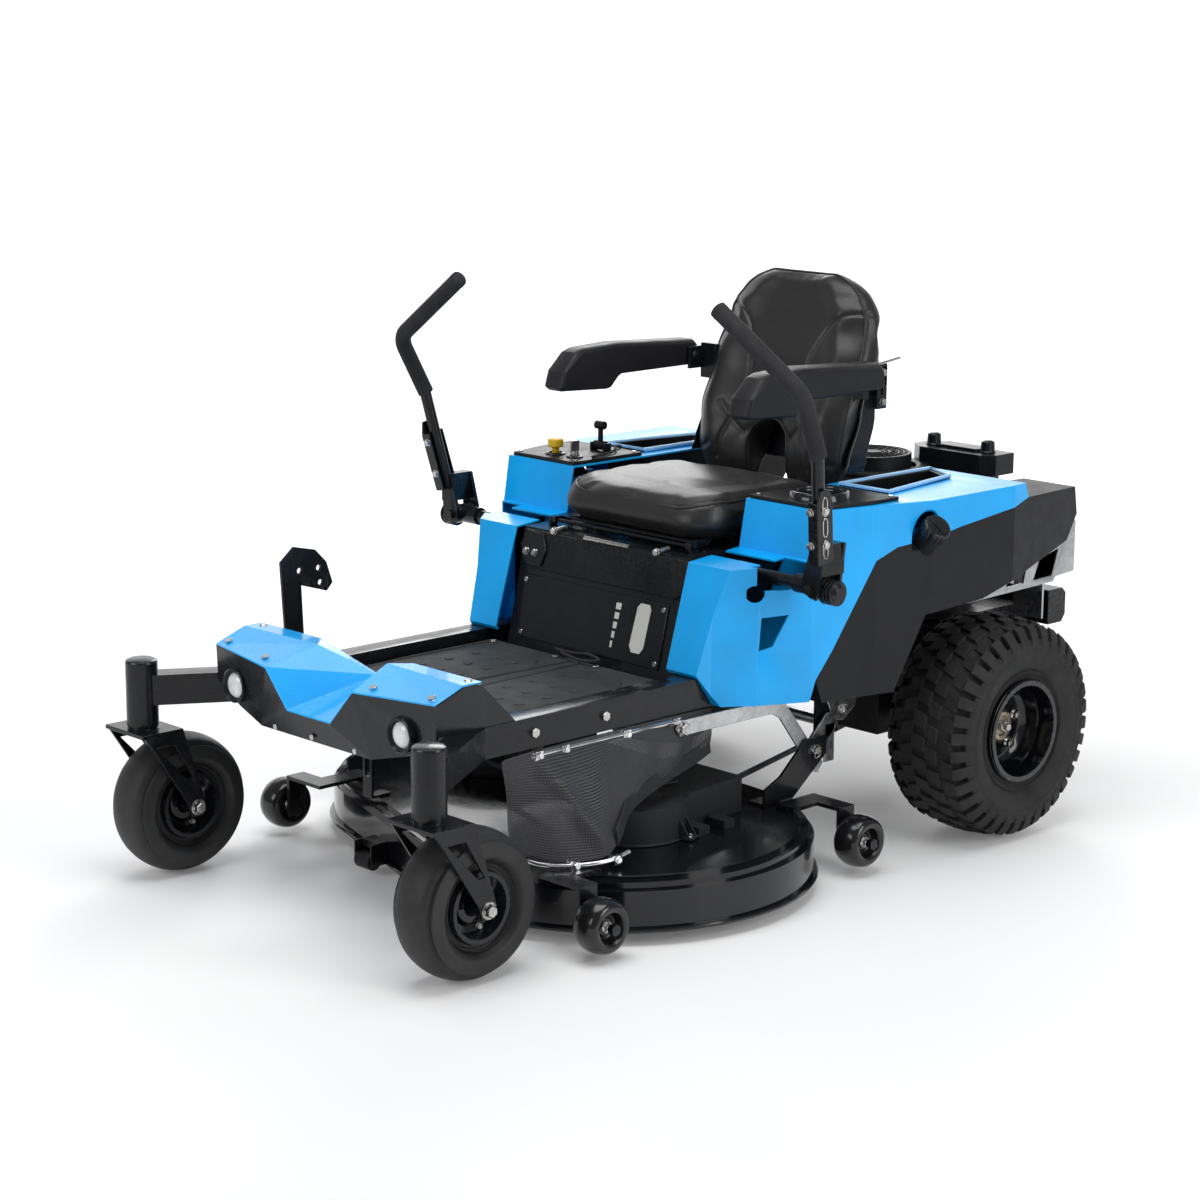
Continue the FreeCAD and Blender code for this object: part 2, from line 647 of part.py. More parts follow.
def caster_fork():
    """Stem, top plate, two pierced legs and the axle bolt, on the driver's left."""
    y_axle = FRONT_AXLE_Y
    z_axle = FRONT_TYRE_R
    inside = FRONT_TYRE_W / 2 + 4
    top = BARREL_Z[0] - 5
    stem = rod((CASTER_X, CASTER_Y, top), (CASTER_X, CASTER_Y, BARREL_Z[1] - 16), STEM_R)
    washer = rod((CASTER_X, CASTER_Y, top), (CASTER_X, CASTER_Y, BARREL_Z[0] - GAP), 30)
    plate = box(CASTER_X - inside - 6, CASTER_X + inside + 6, CASTER_Y - 45, CASTER_Y + 50,
                top - 8, top)
    solids = [stem, washer, plate]
    leg = [(CASTER_Y - 45, top), (CASTER_Y + 50, top), (y_axle + 20, z_axle + 6),
           (y_axle + 14, z_axle - 18), (y_axle - 14, z_axle - 18), (y_axle - 22, z_axle + 10)]
    window = [(CASTER_Y - 14, top - 30), (CASTER_Y + 28, top - 30), (y_axle - 8, z_axle + 62),
              (y_axle - 24, z_axle + 62)]
    for x in (CASTER_X - inside - 6, CASTER_X + inside):
        one = side_prism(leg, x, x + 6)
        solids.append(one.cut(side_prism(window, x - 1, x + 7)))
    bolt = rod((CASTER_X - inside - 14, y_axle, z_axle), (CASTER_X + inside + 14, y_axle, z_axle), 8)
    heads = [hex_bolt((CASTER_X + sign * (inside + 6), y_axle, z_axle), (sign, 0, 0), 22, 9)
             for sign in (1, -1)]
    return union(solids + [bolt] + heads)


# Control levers -----------------------------------------------------------------
PARK_PIN_R = 8
LEVER_FOOT = (541, -20, 668)
LEVER_KNEE = (568, -62, 880)
LEVER_ELBOW = (580, -119, 996)
GRIP_END = (372, -132, 1137)
BAR_R = 12.5
GRIP_R = 17


def lever_bracket():
    """Cross shaft and pivot block of one lever, on the driver's left."""
    shaft = rod((296, LEVER_Y, LEVER_Z), (LEVER_X - 18, LEVER_Y, LEVER_Z), 14)
    collar = rod((309, LEVER_Y, LEVER_Z), (322, LEVER_Y, LEVER_Z), 20)
    drum = rod((LEVER_X - 60, LEVER_Y, LEVER_Z), (LEVER_X - 16, LEVER_Y, LEVER_Z), 19)
    block = rod((LEVER_X, LEVER_Y - 24, LEVER_Z), (LEVER_X, LEVER_Y + 24, LEVER_Z), 20)
    bore = rod((LEVER_X, LEVER_Y - 30, LEVER_Z), (LEVER_X, LEVER_Y + 30, LEVER_Z),
               PARK_PIN_R + PLAY)
    return union([shaft, collar, drum, block]).cut(bore)


def along(start, end, part):
    """The point a given part of the way from start to end."""
    return tuple(a + (b - a) * part for a, b in zip(start, end))


def lever_bar():
    """Bent lever tube with its flattened foot, ears and park pin."""
    bar = tube_along([LEVER_FOOT, LEVER_KNEE, LEVER_ELBOW, along(LEVER_ELBOW, GRIP_END, 0.9)],
                     45, BAR_R)
    ears = []
    for y in (LEVER_Y - 32, LEVER_Y + 25):
        ear = prism([(LEVER_X - 20, y, LEVER_Z - 8), (LEVER_X + 16, y, LEVER_Z - 20),
                     (LEVER_X + 24, y, LEVER_Z), (LEVER_X + 34, y, LEVER_Z + 88),
                     (LEVER_X + 2, y, LEVER_Z + 88), (LEVER_X - 20, y, LEVER_Z + 16)],
                    (0, 7, 0))
        ears.append(ear)
    web = box(LEVER_X + 4, LEVER_X + 30, LEVER_Y - 32, LEVER_Y + 32, LEVER_Z + 28, LEVER_Z + 88)
    pin = rod((LEVER_X, LEVER_Y - 38, LEVER_Z), (LEVER_X, LEVER_Y + 38, LEVER_Z), PARK_PIN_R)
    heads = [hex_bolt((LEVER_X, LEVER_Y + sign * 32, LEVER_Z), (0, sign, 0), 19, 8)
             for sign in (1, -1)]
    return union([bar] + ears + [web, pin] + heads)


def lever_grip():
    """Foam sleeve over the upper bends of the lever."""
    path = [along(LEVER_KNEE, LEVER_ELBOW, -0.05), LEVER_ELBOW, GRIP_END]
    return tube_along(path, 45, GRIP_R)


# Seat ---------------------------------------------------------------------------
PAN_Z = 646
CUSHION_Z = (662, 716)


def seat_pan():
    """Tilting carrier with two slide rails and four suspension springs under the seat."""
    plate = box(-190, 190, -10, 380, PAN_Z, PAN_Z + 4)
    slides = [box(sign * 120, sign * 150, 20, 360, PAN_Z + 4, PAN_Z + 10) for sign in (1, -1)]
    ears = [box(sign * 200, sign * 190, PIVOT_Y - 8, 30, PIVOT_Z - 4, PAN_Z + 4)
            for sign in (1, -1)]
    pads = [rod((sign * 150, y, 636), (sign * 150, y, PAN_Z), 16)
            for sign in (1, -1) for y in (60, 320)]
    hinge = rod((-215, PIVOT_Y, PIVOT_Z), (215, PIVOT_Y, PIVOT_Z), SEAT_PIN_R)
    return union([plate] + slides + ears + pads + [hinge])


def rounded_plan(x, y0, y1, radius, z0, z1):
    """A block with rounded upright corners."""
    body = box(-x, x, y0, y1, z0, z1)
    uprights = [e for e in body.Edges if e.BoundBox.ZLength > 0.9 * (z1 - z0)]
    return body.makeFillet(radius, uprights)


def seat_cushion():
    """Seat pad: a plain closed form in the cushion's place."""
    base = rounded_plan(228, -22, 392, 70, PAN_Z + 10 + GAP, CUSHION_Z[1])
    crown = rounded_plan(206, 0, 372, 60, CUSHION_Z[1], CUSHION_Z[1] + 10)
    return union([base, crown])


ARM_Y = 424
ARM_Z = 945
ARM_PIN_R = 7


def seat_back():
    """Back pad and its shell, leaning back, with rounded top corners."""
    outline = [(396, 700), (430, 690), (470, 726), (560, 1040), (566, 1110), (548, 1146),
               (520, 1150), (498, 1130), (440, 900), (398, 760)]
    slab = side_prism(outline, -228, 228)
    waist = prism([(-228, 600, 690), (-228, 600, 1060), (-150, 600, 1140), (-70, 600, 1160),
                   (70, 600, 1160), (150, 600, 1140), (228, 600, 1060), (228, 600, 690)],
                  (0, -260, 0))
    back = slab.common(waist)
    ears = [box(sign * 200, sign * 236, 470, 500, 930, 960) for sign in (1, -1)]
    ears += [box(sign * 229, sign * 236, ARM_Y - 14, 500, 930, 960) for sign in (1, -1)]
    pin_way = rod((-240, ARM_Y, ARM_Z), (240, ARM_Y, ARM_Z), ARM_PIN_R + PLAY)
    return union([back] + ears).cut(union([seat_cushion(), pin_way]))



def armrest():
    """Moulded armrest with its hinge pin, on the driver's left."""
    outline = [(34, 905), (84, 981), (200, 986), (434, 972), (444, 930), (200, 926), (178, 898)]
    pad = side_prism(outline, 238, 298)
    long_edges = [e for e in pad.Edges if e.BoundBox.XLength < 1 and e.Length > 90]
    pad = pad.makeFillet(9, long_edges)
    pin = rod((224, ARM_Y, ARM_Z), (238, ARM_Y, ARM_Z), ARM_PIN_R)
    return union([pad, pin])


# Cutting deck -------------------------------------------------------------------
def lobes(shrink, z0, z1):
    """The deck's outline between two heights, shrunk evenly by a given amount."""
    (x1, y1, r1), (x2, y2, r2) = LEFT_LOBE, RIGHT_LOBE
    r1 -= shrink
    r2 -= shrink
    apart = math.hypot(x2 - x1, y2 - y1)
    heading = math.atan2(y2 - y1, x2 - x1)
    tilt = math.acos((r1 - r2) / apart)
    corners = []
    for side in (1, -1):
        turn = heading + side * tilt
        ends = [(x1 + r1 * math.cos(turn), y1 + r1 * math.sin(turn)),
                (x2 + r2 * math.cos(turn), y2 + r2 * math.sin(turn))]
        corners += ends if side > 0 else ends[::-1]
    return union([plan_prism(corners, z0, z1), rod((x1, y1, z0), (x1, y1, z1), r1),
                  rod((x2, y2, z0), (x2, y2, z1), r2)])


CHUTE_Y = (-290, -10)


def deck_form():
    """The pressed deck's outside, taken as solid."""
    lip = lobes(0, DECK_Z0, DECK_Z0 + 8)
    skirt = lobes(SKIRT_INSET, DECK_Z0, DECK_TOP - 22)
    shoulder = lobes(SKIRT_INSET + 10, DECK_TOP - 22, DECK_TOP - 8)
    top = lobes(SKIRT_INSET + 28, DECK_TOP - 8, DECK_TOP)
    return union([lip, skirt, shoulder, top])


def deck_shell():
    """Pressed deck: rim lip, skirt, stepped top and a discharge opening on the right."""
    outer = deck_form()
    inner = union([lobes(SKIRT_INSET + DECK_WALL, DECK_Z0 - 1, DECK_TOP - 25),
                   lobes(SKIRT_INSET + 10 + DECK_WALL, DECK_TOP - 25, DECK_TOP - 11),
                   lobes(SKIRT_INSET + 28 + DECK_WALL, DECK_TOP - 11, DECK_TOP - DECK_WALL)])
    shell = outer.cut(inner)
    holes = [rod((x, y, DECK_TOP - 20), (x, y, DECK_TOP + 1), 40) for x, y in SPINDLES.values()]
    outlet = box(-640, -470, CHUTE_Y[0] + 20, CHUTE_Y[1] - 20, DECK_Z0 + 10, DECK_TOP - 30)
    return shell.cut(union(holes + [outlet]))


def belt_covers():
    """Plastic covers over the two spindle pulleys, open to the rear for the belt."""
    covers = []
    for side, sign in SIDES:
        x, y = SPINDLES[side]
        rear = y + 260 if sign > 0 else y + 165
        z0 = DECK_TOP
        z1 = 196

        def solid(shrink, low, high, back):
            drum = rod((x, y, low), (x, y, high), 112 - shrink)
            tail = plan_prism([(x + sign * (80 - shrink), y), (x + sign * (50 - shrink), back),
                               (x - sign * (150 - shrink), back),
                               (x - sign * (108 - shrink), y)], low, high)
            return union([drum, tail])

        shell = solid(0, z0, z1, rear).cut(solid(3, z0 - 1, z1 - 3, rear + 1))
        ears = [box(x + sign * 70, x + sign * 118, y + 40 + step, y + 70 + step, z0, z0 + 16)
                for step in (30, 100)]
        ears = [ear.cut(solid(3, z0 - 1, z1 - 3, rear)) for ear in ears]
        covers.append(union([shell] + ears))
    return group(covers).cut(belt_space(PULLEY_R + 8, PULLEY_Z[0] - 4, PULLEY_Z[1] + 4))


def belt_space(radius, z0, z1):
    """Everything within the belt's loop when it runs at one radius on each pulley."""
    circles = [SPINDLES["left"], SPINDLES["right"], ENGINE_XY]
    solids = [rod((x, y, z0), (x, y, z1), radius) for x, y in circles]
    for (ax, ay), (bx, by) in zip(circles, circles[1:] + circles[:1]):
        solids.append(beam((ax, ay), (bx, by), 2 * radius, z0, z1))
    solids.append(plan_prism(circles, z0, z1))
    return union(solids)


def deck_belt():
    """Belt round both spindle pulleys and the engine pulley."""
    z0, z1 = PULLEY_Z[0] + 7, PULLEY_Z[1] - 7
    return belt_space(BELT_R[1], z0, z1).cut(belt_space(BELT_R[0], z0, z1))


HANGER_X = (350, 356)


def hanger():
    """Upright plate on the deck with the slot that the lift arm's pin works in."""
    outline = [(40, DECK_TOP), (118, DECK_TOP), (222, 206), (222, 244), (160, 244), (86, 180),
               (40, 160)]
    x0, x1 = HANGER_X
    plate = side_prism(outline, x0, x1)
    foot = box(x0 - 40, x1, 40, 118, DECK_TOP, DECK_TOP + 6)
    slot = union([box(x0 - 1, x1 + 1, 178, 200, 209, 229),
                  rod((x0 - 1, 178, 219), (x1 + 1, 178, 219), 10),
                  rod((x0 - 1, 200, 219), (x1 + 1, 200, 219), 10)])
    return union([plate, foot]).cut(slot)


def gauge_arm(place):
    """Arm from the deck's top to one gauge wheel, with the wheel's axle bolt."""
    x, y, z = place
    sign = 1 if x > 0 else -1
    ahead = -1 if y < 0 else 1
    reach = ahead * (90 if sign > 0 or ahead > 0 else 120)
    inner = x - sign * (GAUGE_W / 2 + 4)
    upright = box(inner, inner - sign * 8, y - 22, y + 22, z - 20, DECK_TOP + 8)
    tongue = box(inner, inner - sign * 110, y - 22, y + 22, DECK_TOP + 0.5, DECK_TOP + 8)
    back = box(inner - sign * 60, inner - sign * 110, y + ahead * 22, y - reach, DECK_TOP + 0.5,
               DECK_TOP + 8)
    foot = box(inner - sign * 60, inner - sign * 110, y - reach + ahead * 30, y - reach,
               DECK_TOP, DECK_TOP + 8)
    bolt = rod((inner, y, z), (x + sign * (GAUGE_W / 2 + 8), y, z), 8)
    head = hex_bolt((x + sign * (GAUGE_W / 2 + 2), y, z), (sign, 0, 0), 20, 8)
    return union([upright, tongue, back, foot, bolt, head])


def front_strap():
    """Flat strap with a tall slot that rides on the frame's front pin."""
    x, y = FRONT_HANGER_X, FRONT_HANGER_Y
    low = STRAP_PIN_Z - LIFT_TRAVEL - 1
    high = STRAP_PIN_Z + 1
    strap = box(x - 14, x + 14, y - 9, y - 4, DECK_TOP, high + 16)
    foot = box(x - 14, x + 14, y - 9, y + 40, DECK_TOP, DECK_TOP + 5)
    half = STRAP_PIN_R + 0.6
    slot = union([box(x - half, x + half, y - 20, y + 1, low, high),
                  rod((x, y - 20, low), (x, y + 1, low), half),
                  rod((x, y - 20, high), (x, y + 1, high), half)])
    return union([strap, foot]).cut(slot)


ROLLER_AT = (-145, -574, 31)
ROLLER_R = 18
ROLLER_W = 44


def roller_bracket():
    """Two ears on the front of the deck with the small roller's pin."""
    x, y, z = ROLLER_AT
    half = ROLLER_W / 2 + 1
    ears = [box(x + sign * half, x + sign * (half + 4), y - 12, y + 40, z - 8, z + 38)
            for sign in (1, -1)]
    plate = box(x - half - 4, x + half + 4, y + 6, y + 40, z + 24, z + 38)
    pin = rod((x - half - 8, y, z), (x + half + 8, y, z), 5)
    return union(ears + [plate, pin]).cut(deck_form())


def deck_roller():
    x, y, z = ROLLER_AT
    half = ROLLER_W / 2
    return ring((x - half, y, z), (x + half, y, z), ROLLER_R, 5 + PLAY)


def deck_brackets():
    """Everything steel that is bolted on the deck: housings, hangers and wheel arms."""
    solids = []
    for x, y in SPINDLES.values():
        housing = rod((x, y, DECK_TOP - 10), (x, y, PULLEY_Z[0] - 4), 38)
        flange = rod((x, y, DECK_TOP), (x, y, DECK_TOP + 6), 60)
        bore = rod((x, y, DECK_TOP - 11), (x, y, PULLEY_Z[0]), 12.5 + PLAY)
        solids.append(union([housing, flange]).cut(bore))
    solids += both_sides(hanger())
    solids += [front_strap(), roller_bracket()]
    solids += [gauge_arm(place) for place in GAUGE_WHEELS.values()]
    return group(solids)


def blade(side):
    """Spindle shaft with its pulley on top and the cutting blade below."""
    x, y = SPINDLES[side]
    shaft = rod((x, y, 44), (x, y, PULLEY_Z[1] + 8), 12.5)
    hub = rod((x, y, 58), (x, y, DECK_TOP - 12), 22)
    bar = beam((x, y - BLADE_R + 2), (x, y + BLADE_R - 2), 60, 50, 57)
    sails = []
    for sign in (1, -1):
        edge = y + sign * (BLADE_R - 2)
        sails.append(prism([(x + sign * 30, edge, 50), (x + sign * 10, edge, 57),
                            (x + sign * 26, edge, 72), (x + sign * 30, edge, 72)],
                           (0, -sign * 90, 0)))
    nut = hex_bolt((x, y, 50), (0, 0, -1), 28, 12)
    return union([shaft, hub, pulley(x, y), bar] + sails + [nut])


def gauge_wheel(place):
    """Small plastic roller with a rounded outer shoulder."""
    x, y, z = place
    half = GAUGE_W / 2
    sign = 1 if x > 0 else -1
    inner = -half * sign
    outer = half * sign
    outline = [(8 + PLAY, inner), (GAUGE_R - 4, inner), (GAUGE_R, inner + 5 * sign),
               (GAUGE_R, outer - 26 * sign), (GAUGE_R - 6, outer - 10 * sign),
               (GAUGE_R - 20, outer), (18, outer), (16, outer - 6 * sign),
               (8 + PLAY, outer - 6 * sign)]
    return spun(outline, (x, y, z), X_AXIS)


BOOT_Z = (200, 352)


def mesh_boot():
    """Netting curtain between the left rail and the deck: a plain thin box form."""
    foot = [(300, -560), (404, -500), (420, -330), (330, -300), (230, -380), (230, -560)]
    head = [(290, -640), (326, -640), (326, -140), (290, -140)]
    lower = plan_prism(foot, BOOT_Z[0], BOOT_Z[0] + 40)
    upper = plan_prism(head, BOOT_Z[0] + 40, BOOT_Z[1])
    return union([lower, upper])


CHUTE_X = -596
CHUTE_Z = 138
CHUTE_PIN_R = 5
CHUTE_EAR = 30                 # width of each fixed hinge knuckle


def discharge_chute():
    """Plastic deflector over the side outlet, folded up beside the deck's top."""
    y0, y1 = CHUTE_Y
    ear = CHUTE_EAR + 0.5
    flap = box(-606, -601, y0, y1, CHUTE_Z + 22, CHUTE_Z + 170)
    stiffeners = [box(-601, -588, y, y + 5, CHUTE_Z + 32, CHUTE_Z + 160)
                  for y in (y0, (y0 + y1) / 2, y1 - 5)]
    start = (CHUTE_X, y0 + ear, CHUTE_Z)
    end = (CHUTE_X, y1 - ear, CHUTE_Z)
    barrel = rod(start, end, 9)
    strap = box(-606, -601, y0 + ear, y1 - ear, CHUTE_Z, CHUTE_Z + 22)
    return union([flap, barrel, strap] + stiffeners).cut(rod(start, end, CHUTE_PIN_R + PLAY))


def chute_hinge():
    """Pin and two knuckles on the deck that the deflector swings on."""
    y0, y1 = CHUTE_Y
    solids = [rod((CHUTE_X, y0, CHUTE_Z), (CHUTE_X, y1, CHUTE_Z), CHUTE_PIN_R)]
    for a, b in ((y0, y0 + CHUTE_EAR), (y1 - CHUTE_EAR, y1)):
        solids.append(rod((CHUTE_X, a, CHUTE_Z), (CHUTE_X, b, CHUTE_Z), 9))
        solids.append(box(-603, -500, a, b, DECK_TOP, DECK_TOP + 6))
    return union(solids)


# Deck lift ----------------------------------------------------------------------
ARM_X = (336, 342)
PIN_YZ = (189, 219)


def lift_shaft():
    """Rear rocking shaft with its two silver arms and the pins that carry the deck."""
    shaft = rod((-ARM_X[1], LIFT_Y, LIFT_Z), (ARM_X[1], LIFT_Y, LIFT_Z), LIFT_R)
    py, pz = PIN_YZ
    solids = [shaft]
    for sign in (1, -1):
        x0, x1 = sign * ARM_X[0], sign * ARM_X[1]
        arm = side_prism([(LIFT_Y + 20, LIFT_Z - 8), (LIFT_Y + 12, LIFT_Z + 20),
                          (LIFT_Y - 14, LIFT_Z + 22), (py - 14, pz + 6), (py - 6, pz - 16),
                          (py + 16, pz - 14), (LIFT_Y + 2, LIFT_Z - 24)], x0, x1)
        pin = rod((x0, py, pz), (sign * (HANGER_X[1] + 3), py, pz), 7)
        solids += [arm, pin]
    return union(solids)


def lift_pedal():
    """Tall foot pedal on the right, with a pierced head."""
    x0, x1 = -(RAIL_OUT + 2), -(RAIL_OUT + 8)
    outline = [(-620, 370), (-580, 370), (-578, 430), (-584, 560), (-520, 540), (-505, 556),
               (-520, 600), (-548, 628), (-600, 640), (-634, 612), (-622, 430)]
    plate = side_prism(outline, x0, x1)
    boss = rod((x0, PEDAL_Y, PEDAL_Z), (x1 - 5, PEDAL_Y, PEDAL_Z), 18)
    bore = rod((x0 + 1, PEDAL_Y, PEDAL_Z), (x1 - 9, PEDAL_Y, PEDAL_Z), 8 + PLAY)
    holes = [rod((x0 + 1, y, z), (x1 - 1, y, z), 6)
             for y, z in ((-588, 590), (-540, 590), (-536, 560))]
    return union([plate, boss]).cut(union([bore] + holes))


# Small controls -----------------------------------------------------------------
CONTROL_Z = FENDER_TOP + 8


def ignition_key():
    stem = rod((-300, 130, CONTROL_Z + GAP), (-300, 130, CONTROL_Z + 14), 9)
    bow = box(-302, -298, 118, 142, CONTROL_Z + 14, CONTROL_Z + 36)
    return union([stem, bow])


def blade_switch():
    stem = rod((-360, 130, CONTROL_Z + GAP), (-360, 130, CONTROL_Z + 16), 8)
    knob = rod((-360, 130, CONTROL_Z + 16), (-360, 130, CONTROL_Z + 34), 17)
    return union([stem, knob])


def throttle_lever():
    pin = rod((-354, 235, THROTTLE_Z), (-306, 235, THROTTLE_Z), 3)
    axle = rod((-345, 235, THROTTLE_Z), (-315, 235, THROTTLE_Z), 10)
    arm = box(-333, -327, 230, 240, THROTTLE_Z + 5, THROTTLE_Z + 44)
    knob = rod((-342, 235, THROTTLE_Z + 44), (-318, 235, THROTTLE_Z + 44), 9)
    return union([pin, axle, arm, knob])


def frame_bolts():
    """Hexagon heads on the side rails and button screws on the nose."""
    heads = []
    corner, fold, inner = [V(*NOSE[name]) for name in ("front_out", "fold_out", "front_in")]
    upward = (fold - corner).cross(inner - corner).normalize()
    for sign in (1, -1):
        heads += [hex_bolt((sign * RAIL_OUT, y, 384), (sign, 0, 0), 17, 7)
                  for y in (-560, -380, 480, 620)]
    for part_in, part_back in ((0.12, 0.25), (0.84, 0.3)):
        spot = corner + (inner - corner) * part_in + (fold - corner) * part_back
        foot = spot + V(0, 0, SHEET + 0.02)
        heads += both_sides(Part.makeCylinder(7, 4, foot + upward * 0.3, upward))
    return group(heads)


def build():
    """Every sub-part by name."""
    parts = {
        "main_frame": main_frame(),
        "rear_bumper": rear_bumper(),
        "rear_brackets": group(both_sides(rear_bracket())),
        "deck_roller": deck_roller(),
        "floor_mat": floor_mat(),
        "nose_cover": nose_cover(),
        "nose_fascia": nose_fascia(),
        "headlights": headlights(),
        "seat_box": seat_box(),
        "engine": engine(),
        "air_filter_cover": air_filter_cover(),
        "intake_screen": intake_screen(),
        "transaxles": transaxles(),
        "seat_pan": seat_pan(),
        "seat_cushion": seat_cushion(),
        "seat_back": seat_back(),
        "deck_shell": deck_shell(),
        "belt_covers": belt_covers(),
        "deck_belt": deck_belt(),
        "deck_brackets": group([deck_brackets(), chute_hinge()]),
        "mesh_boot": mesh_boot(),
        "discharge_chute": discharge_chute(),
        "lift_shaft": lift_shaft(),
        "lift_pedal": lift_pedal(),
        "ignition_key": ignition_key(),
        "blade_switch": blade_switch(),
        "throttle_lever": throttle_lever(),
        "frame_bolts": frame_bolts(),
    }
    for side, sign in SIDES:
        parts["fender_" + side] = on_side(fender(), sign)
        parts["fuel_tank_" + side] = on_side(fuel_tank(), sign)
        parts["console_" + side] = on_side(console(side == "left"), sign)
        parts["fuel_cap_" + side] = on_side(fuel_cap(), sign)
        parts["caster_fork_" + side] = on_side(caster_fork(), sign)
        parts["front_tyre_" + side] = front_tyre(sign)
        parts["front_rim_" + side] = front_rim(sign)
        parts["rear_tyre_" + side] = rear_tyre(sign)
        parts["rear_rim_" + side] = on_side(rear_rim(), sign)
        parts["lever_bracket_" + side] = on_side(lever_bracket(), sign)
        parts["lever_bar_" + side] = on_side(lever_bar(), sign)
        parts["lever_grip_" + side] = on_side(lever_grip().cut(lever_bar()), sign)
        parts["armrest_" + side] = on_side(armrest(), sign)
        parts["blade_" + side] = blade(side)
    for corner, place in GAUGE_WHEELS.items():
        parts["gauge_wheel_" + corner] = gauge_wheel(place)
    return parts


def main():
    os.makedirs("parts", exist_ok=True)
    for name, shape in build().items():
        shape.exportStep("parts/" + name + ".step")


main()
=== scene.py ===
"""Zero-turn riding mower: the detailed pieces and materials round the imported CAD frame."""
import math

import bmesh
import bpy
from mathutils import Matrix, Vector
from mathutils.bvhtree import BVHTree
from mathutils.kdtree import KDTree


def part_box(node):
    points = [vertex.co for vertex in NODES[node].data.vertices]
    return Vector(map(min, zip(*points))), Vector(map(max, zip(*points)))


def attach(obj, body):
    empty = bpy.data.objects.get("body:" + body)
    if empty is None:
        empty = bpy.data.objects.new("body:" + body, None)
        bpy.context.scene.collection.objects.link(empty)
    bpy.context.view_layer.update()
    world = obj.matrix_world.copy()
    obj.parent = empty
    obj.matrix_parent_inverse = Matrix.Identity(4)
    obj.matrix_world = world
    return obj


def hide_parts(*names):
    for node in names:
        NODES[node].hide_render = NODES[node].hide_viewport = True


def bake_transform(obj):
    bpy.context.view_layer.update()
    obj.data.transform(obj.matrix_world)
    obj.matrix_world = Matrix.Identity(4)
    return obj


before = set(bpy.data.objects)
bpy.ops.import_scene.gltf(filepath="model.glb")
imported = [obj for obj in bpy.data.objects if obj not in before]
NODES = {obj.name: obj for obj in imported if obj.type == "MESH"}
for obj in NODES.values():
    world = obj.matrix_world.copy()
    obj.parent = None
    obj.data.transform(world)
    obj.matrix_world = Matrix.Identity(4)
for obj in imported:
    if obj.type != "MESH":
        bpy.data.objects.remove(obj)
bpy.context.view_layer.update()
SIDES = (("left", 1), ("right", -1))
CORNERS = ("front_left", "front_right", "rear_left", "rear_right")
TURN = 2 * math.pi
MM = 0.001


# Materials ----------------------------------------------------------------------
class Nodes:
    """Builds one procedural material; its textures follow the object's own coordinates."""

    def __init__(self, name):
        self.mat = bpy.data.materials.new(name)
        self.mat.use_nodes = True
        self.tree = self.mat.node_tree
        self.shader = self.tree.nodes["Principled BSDF"]
        coords = self.tree.nodes.new("ShaderNodeTexCoord")
        self.place = coords.outputs["Object"]
        self.uv = coords.outputs["UV"]
        self.height = None

    def add(self, kind, **values):
        node = self.tree.nodes.new("ShaderNode" + kind)
        for key, value in values.items():
            if key in node.inputs:
                if isinstance(value, bpy.types.NodeSocket):
                    self.tree.links.new(value, node.inputs[key])
                else:
                    node.inputs[key].default_value = value
            else:
                setattr(node, key, value)
        return node

    def noise(self, scale, detail=3.0):
        return self.add("TexNoise", Vector=self.place, Scale=scale, Detail=detail,
                        Roughness=0.55).outputs["Fac"]

    def cells(self, scale, feature="F1"):
        node = self.add("TexVoronoi", Vector=self.place, Scale=scale, feature=feature)
        return node.outputs["Distance"]

    def ramp(self, fac, low, high):
        node = self.add("ValToRGB", Fac=fac)
        elements = node.color_ramp.elements
        elements[0].position, elements[1].position = 0.35, 0.65
        elements[0].color, elements[1].color = (*low, 1), (*high, 1)
        return node.outputs["Color"]

    def remap(self, fac, low, high, a=0.3, b=0.7):
        node = self.tree.nodes.new("ShaderNodeMapRange")
        self.tree.links.new(fac, node.inputs["Value"])
        for key, value in (("From Min", a), ("From Max", b), ("To Min", low), ("To Max", high)):
            node.inputs[key].default_value = value
        return node.outputs["Result"]

    def mix(self, fac, first, second):
        node = self.tree.nodes.new("ShaderNodeMix")
        node.data_type = "RGBA"
        for socket, value in ((node.inputs[0], fac), (node.inputs[6], first),
                              (node.inputs[7], second)):
            if isinstance(value, bpy.types.NodeSocket):
                self.tree.links.new(value, socket)
            else:
                socket.default_value = value if isinstance(value, float) else (*value, 1)
        return node.outputs[2]

    def math(self, operation, first, second=0.0):
        node = self.add("Math", operation=operation)
        for socket, value in zip(node.inputs, (first, second)):
            if isinstance(value, bpy.types.NodeSocket):
                self.tree.links.new(value, socket)
            else:
                socket.default_value = value
        return node.outputs[0]

    def bump(self, height, depth, strength=0.6):
        """Adds a layer of bump; depth is in metres."""
        node = self.add("Bump", Height=height, Distance=depth, Strength=strength)
        if self.height is not None:
            self.tree.links.new(self.height, node.inputs["Normal"])
        self.height = node.outputs["Normal"]

    def worn(self, colour, bare, amount=0.5):
        """Edges lighter than the faces, from the mesh's own pointedness."""
        edge = self.add("NewGeometry").outputs["Pointiness"]
        speck = self.math("MULTIPLY", self.remap(edge, 0.0, 1.0, 0.54, 0.62),
                          self.remap(self.noise(140.0), 0.0, 1.0, 0.45, 0.6))
        return self.mix(self.math("MULTIPLY", speck, amount), colour, bare)

    def done(self, **values):
        for key, value in values.items():
            socket = self.shader.inputs[key.replace("_", " ")]
            if isinstance(value, bpy.types.NodeSocket):
                self.tree.links.new(value, socket)
            elif isinstance(value, tuple):
                socket.default_value = (*value, 1)
            else:
                socket.default_value = value
        if self.height is not None:
            self.tree.links.new(self.height, self.shader.inputs["Normal"])
        return self.mat


